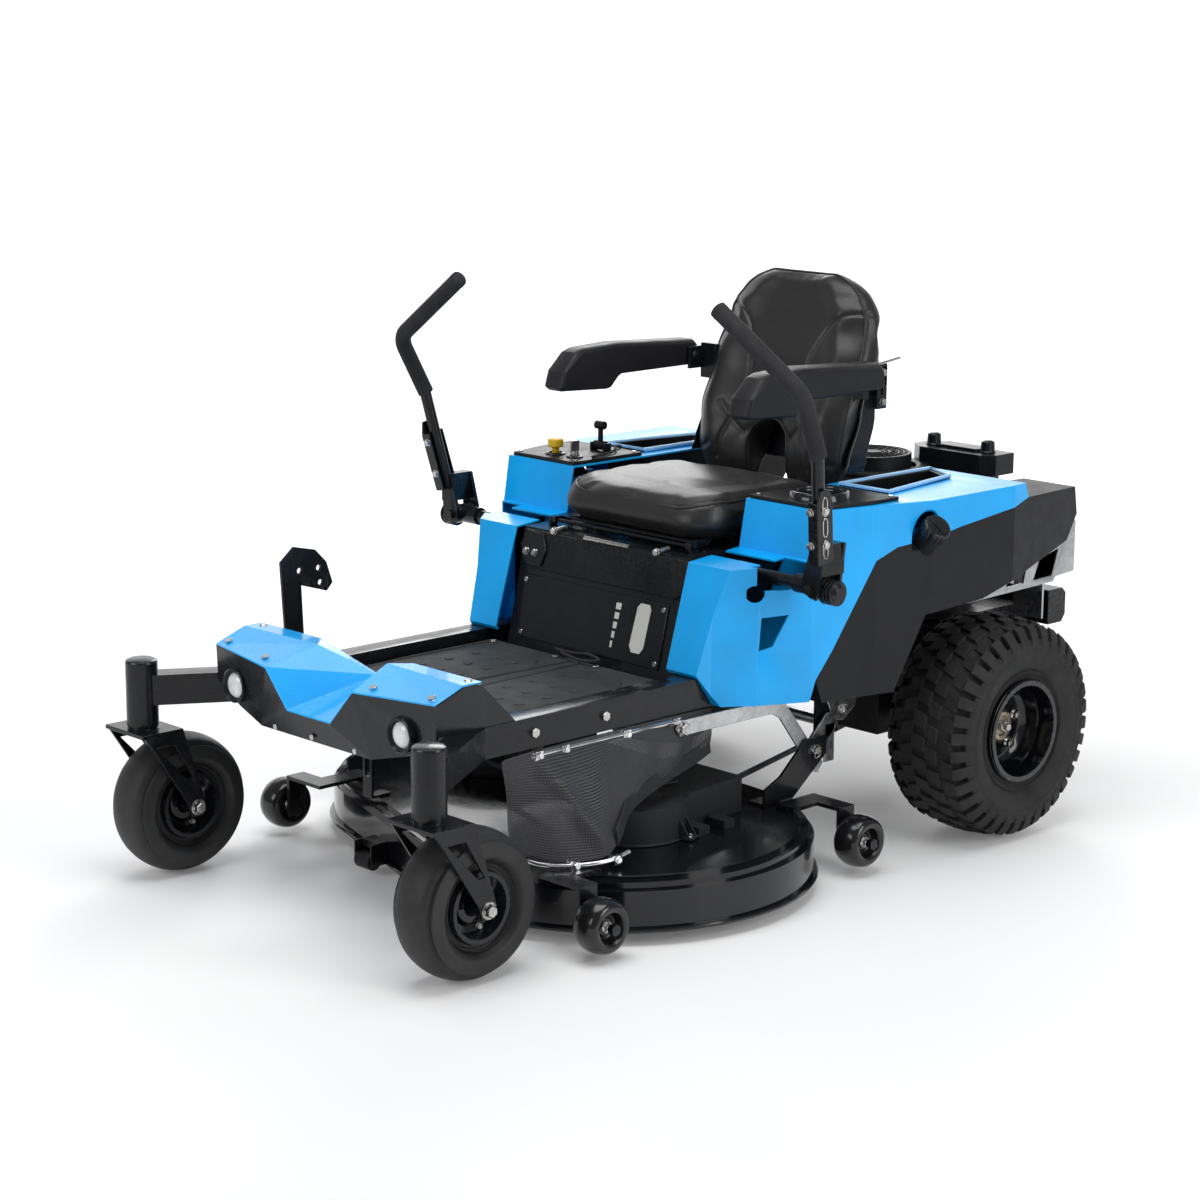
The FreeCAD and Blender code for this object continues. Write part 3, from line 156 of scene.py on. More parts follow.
def shade(colour, factor):
    return tuple(min(1.0, c * factor) for c in colour)


def painted(name, colour, gloss, coat=0.5, bare=(0.25, 0.25, 0.26), wear=0.1):
    """Sprayed or powder-coated steel: orange peel, faint dust and thin edges."""
    m = Nodes(name)
    drift = m.noise(3.0, 2.0)
    base = m.ramp(drift, shade(colour, 0.94), shade(colour, 1.05))
    base = m.worn(base, bare, wear)
    m.bump(m.noise(420.0, 2.0), 0.0004, 0.12)
    m.bump(m.noise(60.0, 2.0), 0.0006, 0.06)
    rough = m.remap(m.noise(18.0, 4.0), gloss * 0.8, gloss * 1.35)
    return m.done(Base_Color=base, Roughness=rough, Coat_Weight=coat, Coat_Roughness=0.06,
                  Specular_IOR_Level=0.26)


def moulded(name, colour, rough, grain=900.0, depth=0.00025, strength=0.35, coat=0.0):
    """Injection-moulded plastic with a fine grain."""
    m = Nodes(name)
    base = m.ramp(m.noise(7.0, 3.0), shade(colour, 0.93), shade(colour, 1.07))
    base = m.worn(base, shade(colour, 2.0), 0.2)
    m.bump(m.cells(grain), depth, strength)
    m.bump(m.noise(35.0, 2.0), 0.0005, 0.05)
    return m.done(Base_Color=base, Roughness=m.remap(m.noise(26.0, 4.0), rough * 0.85, rough * 1.15),
                  Coat_Weight=coat, Coat_Roughness=0.15, Specular_IOR_Level=0.27)


def metal(name, colour, rough, flake=0.0, grain=500.0):
    """Bare, plated or cast metal; flake gives the spangle of galvanised sheet."""
    m = Nodes(name)
    base = m.ramp(m.noise(11.0, 4.0), shade(colour, 0.8), shade(colour, 1.12))
    if flake:
        spangle = m.add("TexVoronoi", Vector=m.place, Scale=130.0).outputs["Color"]
        tone = m.add("RGBToBW", Color=spangle).outputs["Val"]
        base = m.mix(m.math("MULTIPLY", tone, flake), base, shade(colour, 0.55))
    m.bump(m.noise(grain, 3.0), 0.0003, 0.2)
    return m.done(Base_Color=base, Metallic=1.0,
                  Roughness=m.remap(m.noise(60.0, 4.0), rough * 0.75, rough * 1.3))


def rubber(name, colour, rough=0.78, scale=380.0, depth=0.0005):
    """Matt rubber, foam or thread with a fine tooth and a trace of dust."""
    m = Nodes(name)
    base = m.ramp(m.noise(9.0, 5.0), shade(colour, 0.8), shade(colour, 1.35))
    base = m.mix(m.remap(m.noise(55.0, 6.0), 0.0, 0.12, 0.5, 0.8), base, (0.07, 0.068, 0.065))
    m.bump(m.noise(scale, 4.0), depth, 0.3)
    m.bump(m.noise(45.0, 3.0), 0.0008, 0.1)
    return m.done(Base_Color=base, Roughness=m.remap(m.noise(30.0), rough * 0.88, rough * 1.1),
                  Specular_IOR_Level=0.35)


def vinyl(name, colour):
    """Soft grained vinyl: rounded pebbles with fine creases between them, the creases darkened with
    painted shade.
    """
    m = Nodes(name)
    base = m.ramp(m.noise(12.0, 4.0), shade(colour, 0.9), shade(colour, 1.12))
    pebble = m.cells(520.0, "SMOOTH_F1")
    # Painted shade: the colour is darkened in the creases between the pebbles.
    base = m.mix(m.remap(pebble, 0.0, 0.35, 0.35, 0.75), base, shade(colour, 0.45))
    m.bump(m.math("SUBTRACT", 1.0, pebble), 0.0005, 0.35)
    m.bump(m.noise(24.0, 4.0), 0.0022, 0.14)
    return m.done(Base_Color=base, Roughness=m.remap(pebble, 0.34, 0.48), Sheen_Weight=0.05,
                  Sheen_Roughness=0.4, Specular_IOR_Level=0.45)


def netting(name):
    """Net: strands in two directions over the UV map, which is in metres, with open gaps; the strands
    carry painted shade towards the gaps and a painted highlight along their crests.
    """
    m = Nodes(name)
    split = m.add("SeparateXYZ", Vector=m.uv)
    waves = []
    for axis in ("X", "Y"):
        wave = m.math("SINE", m.math("MULTIPLY", split.outputs[axis], math.pi / NET_PITCH))
        waves.append(m.math("ABSOLUTE", wave))
    strand = m.math("MAXIMUM", waves[0], waves[1])
    alpha = m.remap(strand, 0.0, 1.0, 0.58, 0.68)
    # Painted shade and highlight: near black at each strand's edges by the gaps, lighter along its
    # crest.
    base = m.mix(m.remap(strand, 0.0, 1.0, 0.78, 0.98), (0.004, 0.004, 0.005), (0.055, 0.055, 0.06))
    m.bump(strand, 0.0012, 1.0)
    return m.done(Base_Color=base, Roughness=0.42, Alpha=alpha, Sheen_Weight=0.1)


def lens_glass(name):
    """Clear, slightly uneven lamp glass."""
    m = Nodes(name)
    m.bump(m.noise(90.0, 2.0), 0.0005, 0.1)
    tint = m.ramp(m.noise(40.0), (0.86, 0.89, 0.92), (0.97, 0.98, 1.0))
    return m.done(Base_Color=tint, Roughness=m.remap(m.noise(200.0), 0.02, 0.07),
                  Transmission_Weight=0.9, IOR=1.49)


def lamp_white(name):
    """A frosted lamp behind its clear cover."""
    m = Nodes(name)
    facets = m.cells(260.0)
    m.bump(facets, 0.0008, 0.4)
    base = m.ramp(m.noise(60.0), (0.72, 0.74, 0.76), (0.88, 0.89, 0.90))
    return m.done(Base_Color=base, Roughness=m.remap(facets, 0.05, 0.18), Coat_Weight=1.0,
                  Coat_Roughness=0.03)


NET_PITCH = 0.0042
BLUE = (0.001, 0.405, 0.94)
MATS = {
    "frame": painted("frame_black", (0.0055, 0.006, 0.0075), 0.25, 0.2),
    "deck": painted("deck_black", (0.004, 0.0045, 0.006), 0.14, 0.45),
    "blue_steel": painted("blue_steel", BLUE, 0.26, 0.6, (0.5, 0.7, 0.9), 0.15),
    "blue": moulded("blue_plastic", BLUE, 0.33, 1500.0, 0.0001, 0.12, 0.45),
    "plastic": moulded("black_plastic", (0.0065, 0.0070, 0.0085), 0.44),
    "plastic_gloss": moulded("satin_black_plastic", (0.008, 0.009, 0.0115), 0.28, 1200.0, 0.0001,
                             0.15, 0.25),
    "plastic_grey": moulded("grey_plastic", (0.019, 0.020, 0.022), 0.50, 700.0, 0.0003, 0.4),
    "armrest": moulded("armrest_skin", (0.012, 0.012, 0.0135), 0.46, 1100.0, 0.0002, 0.3),
    "zinc": metal("zinc_plate", (0.60, 0.61, 0.62), 0.30, 0.45),
    "bolt": metal("bright_bolt", (0.55, 0.54, 0.52), 0.26),
    "chrome": metal("chrome_rod", (0.78, 0.78, 0.79), 0.10),
    "steel": metal("ground_steel", (0.34, 0.34, 0.35), 0.38),
    "cast": metal("cast_metal", (0.055, 0.055, 0.058), 0.50, 0.0, 900.0),
    "tyre": rubber("tyre_rubber", (0.018, 0.018, 0.019)),
    "tyre_smooth": rubber("caster_rubber", (0.020, 0.020, 0.021), 0.55, 700.0, 0.0003),
    "brass": metal("zinc_yellow_hub", (0.42, 0.36, 0.27), 0.34),
    "mat": rubber("floor_rubber", (0.028, 0.031, 0.033), 0.7, 900.0),
    "foam": rubber("foam_sleeve", (0.020, 0.020, 0.022), 0.85, 1400.0, 0.0008),
    "roller_gloss": moulded("gloss_roller", (0.009, 0.009, 0.010), 0.20, 1500.0, 0.00008, 0.1, 0.5),
    "lamp": lamp_white("lamp_white"),
    "blue_pale": moulded("pale_blue_plastic", (0.30, 0.56, 0.86), 0.36, 1500.0, 0.0001, 0.12, 0.3),
    "white_can": painted("filter_can", (0.55, 0.55, 0.54), 0.3, 0.3),
    "roller": moulded("roller_plastic", (0.015, 0.015, 0.017), 0.42, 800.0),
    "vinyl": vinyl("seat_vinyl", (0.016, 0.0155, 0.0155)),
    "net": netting("boot_net"),
    "glass": lens_glass("lamp_lens"),
    "yellow": moulded("yellow_plastic", (0.75, 0.48, 0.02), 0.4),
    "white": moulded("tank_window", (0.62, 0.62, 0.58), 0.45),
    "thread": rubber("stitch_thread", (0.045, 0.044, 0.044), 0.6, 2500.0),
}

# The material of each CAD node, by its name without left or right
NODE_MATS = {
    "main_frame": "frame", "rear_bumper": "frame", "deck_brackets": "frame", "seat_pan": "frame",
    "seat_box": "plastic_gloss", "lift_pedal": "frame", "rear_brackets": "zinc",
    "frame_bolts": "bolt", "lift_shaft": "zinc", "nose_cover": "blue_steel",
    "nose_fascia": "plastic_gloss", "air_filter_cover": "plastic_gloss",
    "intake_screen": "plastic", "belt_covers": "plastic_grey", "discharge_chute": "plastic",
    "blade_switch": "yellow", "throttle_lever": "plastic", "ignition_key": "bolt",
    "floor_mat": "mat", "deck_belt": "mat", "headlights": "glass", "engine": "cast",
    "transaxles": "cast", "seat_cushion": "vinyl", "seat_back": "vinyl", "mesh_boot": "mat",
    "deck_shell": "deck", "deck_roller": "roller", "caster_fork": "frame",
    "lever_bracket": "frame", "lever_bar": "frame", "fender": "blue", "fuel_tank": "plastic",
    "console": "plastic", "fuel_cap": "plastic", "front_tyre": "tyre", "rear_tyre": "tyre",
    "front_rim": "plastic_gloss", "rear_rim": "deck", "lever_grip": "foam", "armrest": "armrest",
    "blade": "steel", "gauge_wheel_front": "roller", "gauge_wheel_rear": "roller",
}


def stem(name):
    """A node's name without its side."""
    return name.removesuffix("_left").removesuffix("_right")


def smooth_by_angle(obj, degrees=32):
    """Rounded shading with hard edges kept where faces turn sharply."""
    mesh = obj.data
    mesh.shade_smooth()
    bm = bmesh.new()
    bm.from_mesh(mesh)
    limit = math.radians(degrees)
    sharp = [e.calc_face_angle(0.0) > limit if len(e.link_faces) == 2 else True for e in bm.edges]
    bm.free()
    if "sharp_edge" not in mesh.attributes:
        mesh.attributes.new("sharp_edge", "BOOLEAN", "EDGE")
    mesh.attributes["sharp_edge"].data.foreach_set("value", sharp)


for name, node in NODES.items():
    node.data.materials.clear()
    node.data.materials.append(MATS[NODE_MATS[stem(name)]])


# Mesh helpers -------------------------------------------------------------------
def piece(name, bm, key, body, replaced=(), angle=35):
    """One visible piece from a bmesh. It rides on a body, or on none when body is None."""
    bmesh.ops.recalc_face_normals(bm, faces=bm.faces)
    mesh = bpy.data.meshes.new(name)
    bm.to_mesh(mesh)
    bm.free()
    obj = bpy.data.objects.new(name, mesh)
    bpy.context.scene.collection.objects.link(obj)
    mesh.materials.append(MATS[key])
    smooth_by_angle(obj, angle)
    if body:
        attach(obj, body)
    if replaced:
        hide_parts(*replaced)
    return obj


def modify(obj, kind, **values):
    mod = obj.modifiers.new(kind.lower(), kind)
    for key, value in values.items():
        setattr(mod, key, value)
    return mod


def apply(obj, kind, **values):
    """Adds a modifier and applies it at once."""
    bpy.context.view_layer.objects.active = obj
    bpy.ops.object.modifier_apply(modifier=modify(obj, kind, **values).name)


def rounded(obj, width, segments=3, angle=25):
    """Bevelled edges; the width is in metres."""
    modify(obj, "BEVEL", width=width, segments=segments, limit_method="ANGLE",
           angle_limit=math.radians(angle), harden_normals=False, miter_outer="MITER_ARC")
    return obj


def add_loft(bm, rings, caps=True):
    """Skin through closed rings of points with the same count."""
    rows = [[bm.verts.new(p) for p in ring] for ring in rings]
    count = len(rows[0])
    for low, high in zip(rows, rows[1:]):
        for i in range(count):
            j = (i + 1) % count
            bm.faces.new((low[i], low[j], high[j], high[i]))
    if caps:
        bm.faces.new(rows[0][::-1])
        bm.faces.new(rows[-1])


def axes_for(axis):
    """An axis made a unit long, and two directions square to it."""
    axis = Vector(axis).normalized()
    across = Vector((0, 0, 1)) if abs(axis.z) < 0.7 else Vector((1, 0, 0))
    u = (across - axis * across.dot(axis)).normalized()
    return axis, u, axis.cross(u)


def circle(centre, u, v, radius, steps):
    """Points of a circle in the plane of u and v."""
    return [centre + (u * math.cos(t) + v * math.sin(t)) * radius
            for t in [TURN * k / steps for k in range(steps)]]


def add_lathe(bm, profile, centre, axis, steps=64, closed=True):
    """A (radius, offset) outline turned about an axis."""
    axis, u, v = axes_for(axis)
    base = Vector(centre)
    rings = []
    for k in range(steps):
        turn = TURN * k / steps
        out = u * math.cos(turn) + v * math.sin(turn)
        rings.append([bm.verts.new(base + out * max(r, 1e-5) + axis * s) for r, s in profile])
    count = len(profile)
    for k in range(steps):
        a, b = rings[k], rings[(k + 1) % steps]
        for i in range(count if closed else count - 1):
            j = (i + 1) % count
            bm.faces.new((a[i], b[i], b[j], a[j]))


def add_rod(bm, start, end, radius, steps=20, end_radius=None):
    """A round bar with small chamfers at both ends."""
    a, b = Vector(start), Vector(end)
    axis, u, v = axes_for(b - a)
    far = radius if end_radius is None else end_radius
    length = (b - a).length
    tip = min(radius, far) * 0.12
    spots = [(0, radius - tip), (tip, radius), (length - tip, far), (length, far - tip)]
    add_loft(bm, [circle(a + axis * s, u, v, r, steps) for s, r in spots])


def add_hex(bm, place, axis, size, height):
    """A hexagon bolt head on its flanged washer, with a domed top."""
    axis, u, v = axes_for(axis)
    base = Vector(place)
    flange = size * 0.66
    add_rod(bm, base, base + axis * height * 0.22, flange, 28)
    rings = []
    for s, grow in ((0.2, 1.0), (0.86, 1.0), (1.0, 0.86)):
        rings.append([base + axis * (height * s) + (u * math.cos(t) + v * math.sin(t))
                      * (size / math.sqrt(3) * grow)
                      for t in [math.radians(60 * k) for k in range(6)]])
    add_loft(bm, rings)
    add_rod(bm, base + axis * height * 0.95, base + axis * height * 1.06, size * 0.3, 20)


def add_block(bm, low, high):
    """A box by two opposite corners."""
    (x0, y0, z0), (x1, y1, z1) = low, high
    corners = [(x, y, z) for z in (z0, z1) for x, y in ((x0, y0), (x1, y0), (x1, y1), (x0, y1))]
    add_loft(bm, [corners[:4], corners[4:]])


def add_prism(bm, outline, along):
    """A flat outline of 3-D points pushed along a vector."""
    push = Vector(along)
    add_loft(bm, [[Vector(p) for p in outline], [Vector(p) + push for p in outline]])


def smooth_path(points, steps=8):
    """Points of a Catmull-Rom curve through the given ones."""
    pts = [Vector(p) for p in points]
    pts = [2 * pts[0] - pts[1]] + pts + [2 * pts[-1] - pts[-2]]
    out = []
    for a, b, c, d in zip(pts, pts[1:], pts[2:], pts[3:]):
        for k in range(steps):
            t = k / steps
            out.append(0.5 * ((2 * b) + (c - a) * t + (2 * a - 5 * b + 4 * c - d) * t * t
                              + (3 * b - a - 3 * c + d) * t ** 3))
    out.append(pts[-2])
    return out


def add_tube(bm, path, radius, steps=14, closed=False):
    """A round tube along points, carried round bends without twisting."""
    pts = [Vector(p) for p in path]
    count = len(pts)
    tangents = []
    for i in range(count):
        before = pts[i - 1] if (i or closed) else pts[i]
        after = pts[(i + 1) % count] if (i < count - 1 or closed) else pts[i]
        tangents.append((after - before).normalized())
    _, u, _ = axes_for(tangents[0])
    rings = []
    for p, t in zip(pts, tangents):
        u = (u - t * u.dot(t)).normalized()
        rings.append(circle(p, u, t.cross(u), radius, steps))
    if closed:
        rings.append(rings[0])
    add_loft(bm, rings, caps=not closed)


# CAD nodes, cleaned and with their edges rounded -----------------------------------
EDGE_WIDTHS = {
    "main_frame": 0.003, "rear_bumper": 0.004, "rear_brackets": 0.0015, "nose_cover": 0.0022,
    "nose_fascia": 0.0018, "seat_box": 0.003, "floor_mat": 0.002, "fender": 0.006,
    "fuel_tank": 0.012, "console": 0.003, "air_filter_cover": 0.005, "intake_screen": 0.002,
    "belt_covers": 0.007, "discharge_chute": 0.002, "deck_shell": 0.003, "caster_fork": 0.0016,
    "lever_bar": 0.0015, "lift_shaft": 0.001, "lift_pedal": 0.0016, "engine": 0.003,
    "transaxles": 0.004, "seat_pan": 0.0015, "deck_brackets": 0.0016, "gauge_wheel_front": 0.002,
    "gauge_wheel_rear": 0.002, "blade_switch": 0.003, "throttle_lever": 0.002,
    "ignition_key": 0.001, "frame_bolts": 0.0006, "deck_roller": 0.002, "fuel_cap": 0.0016,
}
for name, node in NODES.items():
    smooth_by_angle(node, 30)
    if stem(name) in EDGE_WIDTHS:
        modify(node, "WELD", merge_threshold=0.00002)
        if name != "main_frame":
            modify(node, "DECIMATE", decimate_type="DISSOLVE", angle_limit=math.radians(0.6))
        rounded(node, EDGE_WIDTHS[stem(name)], 3, 24)


def mm(*values):
    """A place or vector given in millimetres, in metres."""
    return tuple(v * MM for v in values)


def box_of(node):
    """Centre and size of a CAD node at rest."""
    low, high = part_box(node)
    return (Vector(low) + Vector(high)) / 2, [b - a for a, b in zip(low, high)]


# Seat ---------------------------------------------------------------------------
CLOTH_STEPS = 20
# Seams are cast on the pads from a Y ahead of the back and from a height above the cushion
AHEAD = 0.2
ABOVE = 0.9
REARWARDS = (0, 1, 0)
DOWNWARDS = (0, 0, -1)


def between(stops, t):
    """Smooth interpolation through (place, value) stops."""
    for (a, u), (b, v) in zip(stops, stops[1:]):
        if t <= b:
            s = (t - a) / (b - a)
            s = s * s * (3 - 2 * s)
            return u + (v - u) * max(0.0, s)
    return stops[-1][1]


def inflate(obj, voxel=0.006, cap=0.009):
    """Voxel remesh, then a short pressure simulation that swells the cover like foam."""
    apply(obj, "REMESH", mode="VOXEL", voxel_size=voxel)
    apply(obj, "SMOOTH", factor=0.5, iterations=8)
    start = [v.co.copy() for v in obj.data.vertices]
    cloth = modify(obj, "CLOTH")
    cloth.settings.quality = 4
    cloth.settings.mass = 0.4
    cloth.settings.tension_stiffness = 18
    cloth.settings.compression_stiffness = 18
    cloth.settings.bending_stiffness = 2.0
    cloth.settings.use_pressure = True
    cloth.settings.uniform_pressure_force = 4.0
    cloth.settings.effector_weights.gravity = 0
    scene = bpy.context.scene
    for step in range(1, CLOTH_STEPS + 1):
        scene.frame_set(step)
    posed = obj.evaluated_get(bpy.context.evaluated_depsgraph_get()).to_mesh()
    moved = [v.co.copy() for v in posed.vertices]
    obj.modifiers.remove(cloth)
    for vertex, a, b in zip(obj.data.vertices, start, moved):
        push = b - a
        vertex.co = a + push * min(1.0, cap / max(push.length, 1e-9))
    scene.frame_set(1)
    apply(obj, "SMOOTH", factor=0.5, iterations=6)
    apply(obj, "SUBSURF", levels=1, render_levels=1)
    obj.data.shade_smooth()


def surface_of(obj):
    bm = bmesh.new()
    bm.from_mesh(obj.data)
    tree = BVHTree.FromBMesh(bm)
    bm.free()
    return tree


def on_surface(tree, points, direction, lift=0.0):
    """Each point dropped on a surface along a direction."""
    out = []
    for p in points:
        hit, normal, _, _ = tree.ray_cast(Vector(p), Vector(direction))
        if hit is not None:
            out.append(hit + normal * lift)
    return out


def groove(obj, path, width, depth):
    """A sewn channel pressed into a mesh along a path."""
    tree = KDTree(len(path))
    for i, p in enumerate(path):
        tree.insert(p, i)
    tree.balance()
    normals = [v.normal.copy() for v in obj.data.vertices]
    for vertex, normal in zip(obj.data.vertices, normals):
        _, _, away = tree.find(vertex.co)
        if away < 3 * width:
            vertex.co -= normal * depth * math.exp(-(away / width) ** 2)


def stitches(bm, path, length=0.0042, gap=0.0022, radius=0.0007):
    """Short thread stitches laid along a path."""
    travelled = 0.0
    start = path[0]
    for a, b in zip(path, path[1:]):
        travelled += (b - a).length
        if travelled >= length:
            add_rod(bm, start, b, radius, 6)
            start = b + (b - a).normalized() * gap
            travelled = -gap


BACK_FOOT = 0.702
BACK_TALL = 0.444
BACK_REAR = [(0.702, 0.445), (0.76, 0.480), (0.86, 0.506), (1.00, 0.545), (1.08, 0.560),
             (1.115, 0.558), (1.146, 0.544)]


def back_rings():
    """Level sections of the back pad, from its foot to its crown."""
    half = [(0.702, 0.196), (0.76, 0.216), (0.86, 0.222), (0.97, 0.221), (1.06, 0.205),
            (1.10, 0.180), (1.13, 0.140), (1.146, 0.100)]
    front = [(0.702, 0.412), (0.76, 0.404), (0.83, 0.416), (0.95, 0.453), (1.06, 0.490),
             (1.115, 0.508), (1.146, 0.524)]
    levels, round_count, squareness = 26, 48, 0.52
    rings = []
    for z in [BACK_FOOT + BACK_TALL * k / levels for k in range(levels + 1)]:
        w, f, r = between(half, z), between(front, z), between(BACK_REAR, z)
        lumbar = math.exp(-((z - 0.83) / 0.11) ** 2)
        ring = []
        for k in range(round_count):
            t = TURN * k / round_count
            c, s = math.cos(t), math.sin(t)
            x = w * math.copysign(abs(c) ** squareness, c)
            y = (f + r) / 2 + (r - f) / 2 * math.copysign(abs(s) ** squareness, s)
            if s < 0:
                y -= (0.012 + 0.014 * lumbar) * math.exp(-((abs(x) - w * 0.74) / 0.05) ** 2)
            ring.append((x, y, z))
        rings.append(ring)
    return rings


def arch(half, foot, spring, steps=12):
    """An upright arch as (x, z) points, from its left foot over to its right."""
    curve = [(-half * math.cos(math.pi * k / steps), spring + half * math.sin(math.pi * k / steps))
             for k in range(steps + 1)]
    return [(-half, foot)] + curve + [(half, foot)]


def cut_out(obj, outline, depth):
    """Cuts an opening through a piece along Y, from an (x, z) outline."""
    near, far = depth
    bm = bmesh.new()
    add_prism(bm, [(x, near, z) for x, z in outline], (0, far - near, 0))
    bmesh.ops.recalc_face_normals(bm, faces=bm.faces)
    mesh = bpy.data.meshes.new("cutter")
    bm.to_mesh(mesh)
    bm.free()
    cutter = bpy.data.objects.new("cutter", mesh)
    bpy.context.scene.collection.objects.link(cutter)
    apply(obj, "BOOLEAN", object=cutter, operation="DIFFERENCE", solver="EXACT")
    bpy.data.objects.remove(cutter)
    bpy.data.meshes.remove(mesh)


def seat_back():
    """Back pad with an arched opening at its foot, two sewn seams, pleats and piping."""
    bm = bmesh.new()
    add_loft(bm, back_rings())
    obj = piece("seat_back_pad", bm, "vinyl", "seat", ("seat_back",), 180)
    cut_out(obj, arch(0.056, 0.68, 0.766), (0.3, 0.7))
    inflate(obj)
    tree = surface_of(obj)
    seam = [(0.190, 1.066), (0.150, 1.060), (0.115, 1.036), (0.092, 0.995), (0.080, 0.945),
            (0.080, 0.890), (0.098, 0.835), (0.122, 0.780), (0.130, 0.740)]
    seams = []
    for _, sign in SIDES:
        route = smooth_path([(sign * x, AHEAD, z) for x, z in seam], 30)
        seams.append(on_surface(tree, route, REARWARDS))
    for path in seams:
        groove(obj, path, 0.0045, 0.0040)
    for _, sign in SIDES:
        for x0, z0, x1, z1 in ((0.128, 0.860, 0.070, 0.800), (0.150, 0.770, 0.190, 0.756)):
            middle = (sign * (x0 + x1) / 2, AHEAD, (z0 + z1) / 2 - 0.004)
            pleat = smooth_path([(sign * x0, AHEAD, z0), middle, (sign * x1, AHEAD, z1)], 12)
            groove(obj, on_surface(tree, pleat, REARWARDS), 0.007, 0.0030)
    tree = surface_of(obj)
    bm = bmesh.new()
    for path in seams:
        for shift in (-0.0042, 0.0042):
            line = [(p.x + shift, AHEAD, p.z) for p in path if p.z < 0.99]
            stitches(bm, on_surface(tree, line, REARWARDS, 0.0004))
    piece("seat_back_stitching", bm, "thread", "seat")
    bm = bmesh.new()
    rim = [(0.206, 0.418, 0.735), (0.216, 0.412, 0.79), (0.222, 0.424, 0.87), (0.221, 0.452, 0.97),
           (0.206, 0.482, 1.055), (0.178, 0.500, 1.100), (0.138, 0.512, 1.132),
           (0.080, 0.522, 1.150), (0.0, 0.526, 1.153)]
    rim = smooth_path([(-x, y, z) for x, y, z in rim] + rim[-2::-1], 8)
    hole = smooth_path([(x, 0.400, z) for x, z in arch(0.058, 0.722, 0.764, 8)], 4)
    for route, thick in ((rim, 0.0028), (hole, 0.0024)):
        welt = []
        for p in route:
            hit, normal, _, _ = tree.find_nearest(p)
            welt.append(hit + normal * 0.0008)
        add_tube(bm, welt, thick, 8)
    piece("seat_back_piping", bm, "vinyl", "seat")


def seat_shell():
    """Moulded shell that carries the back pad, with a rolled edge."""
    bm = bmesh.new()
    rings = []
    for k in range(15):
        z = 0.742 + 0.25 * k / 14
        rear = between(BACK_REAR, z) + 0.006
        w = 0.224 - 0.036 * (k / 14) ** 4
        lip = 0.070 - 0.034 * k / 14
        edge = [(-w, rear - lip), (-w, rear - 0.012), (-w + 0.012, rear), (0, rear + 0.004),
                (w - 0.012, rear), (w, rear - 0.012), (w, rear - lip)]
        inner = [(x * 0.985, y - 0.004) for x, y in edge[::-1]]
        rings.append([(x, y, z) for x, y in edge + inner])
    add_loft(bm, rings)
    shell = piece("seat_back_shell", bm, "plastic_gloss", "seat", angle=40)
    rounded(shell, 0.0012, 2, 25)


def cushion_outline(x, y0, y1, radius, steps=10):
    """A rounded rectangle in plan, counter-clockwise."""
    points = []
    for cx, cy, start in ((x - radius, y1 - radius, 0), (-x + radius, y1 - radius, 90),
                          (-x + radius, y0 + radius, 180), (x - radius, y0 + radius, 270)):
        for k in range(steps + 1):
            t = math.radians(start + 90 * k / steps)
            points.append((cx + radius * math.cos(t), cy + radius * math.sin(t)))
    return points


def cushion_top(x, y):
    """Height of the cushion's top: hip bolsters, a thigh dip and a rounded front."""
    bolster = 0.010 * (abs(x) / 0.2) ** 2.2
    front = 0.012 * max(0.0, (0.09 - y) / 0.11) ** 2
    thigh = 0.007 * math.exp(-((y - 0.085) / 0.05) ** 2 - ((abs(x) - 0.10) / 0.07) ** 2)
    dip = 0.013 * math.exp(-((y - 0.23) / 0.12) ** 2 - (x / 0.13) ** 2)
    return 0.719 + bolster + thigh - front - dip


def seat_cushion():
    """Crowned cushion with a sewn rim, pleats, piping and stitching."""
    bm = bmesh.new()
    sides = [(0.656, 0.030), (0.660, 0.014), (0.671, 0.004), (0.687, 0.002), (0.702, 0.007)]
    corner = 0.075
    rings = []
    for z, inset in sides:
        rings.append([(x, y, z) for x, y in
                      cushion_outline(0.226 - inset, -0.020 + inset, 0.390 - inset, corner)])
    for inset in (0.016, 0.030, 0.060, 0.100, 0.150):
        radius = max(0.02, corner - inset * 0.5)
        rings.append([(x, y, cushion_top(x, y)) for x, y in
                      cushion_outline(0.226 - inset, -0.020 + inset, 0.390 - inset, radius)])
    add_loft(bm, rings)
    obj = piece("seat_cushion_pad", bm, "vinyl", "seat", ("seat_cushion",), 180)
    inflate(obj)
    tree = surface_of(obj)
    rim = [(x, y, ABOVE) for x, y in cushion_outline(0.203, 0.004, 0.368, 0.07, 24)]
    groove(obj, on_surface(tree, rim, DOWNWARDS), 0.005, 0.0042)
    for x0, y0, x1, y1 in ((-0.04, 0.15, 0.11, 0.095), (0.02, 0.30, 0.14, 0.24),
                           (-0.16, 0.34, -0.10, 0.37)):
        middle = ((x0 + x1) / 2, (y0 + y1) / 2 - 0.006, ABOVE)
        pleat = smooth_path([(x0, y0, ABOVE), middle, (x1, y1, ABOVE)], 14)
        groove(obj, on_surface(tree, pleat, DOWNWARDS), 0.011, 0.0034)
    tree = surface_of(obj)
    bm = bmesh.new()
    add_tube(bm, on_surface(tree, rim, DOWNWARDS, 0.0016), 0.0030, 10, closed=True)
    piece("seat_cushion_piping", bm, "vinyl", "seat")
    bm = bmesh.new()
    inner = [(x, y, ABOVE) for x, y in cushion_outline(0.197, 0.010, 0.362, 0.066, 60)]
    stitches(bm, on_surface(tree, inner, DOWNWARDS, 0.0004))
    piece("seat_cushion_stitching", bm, "thread", "seat")


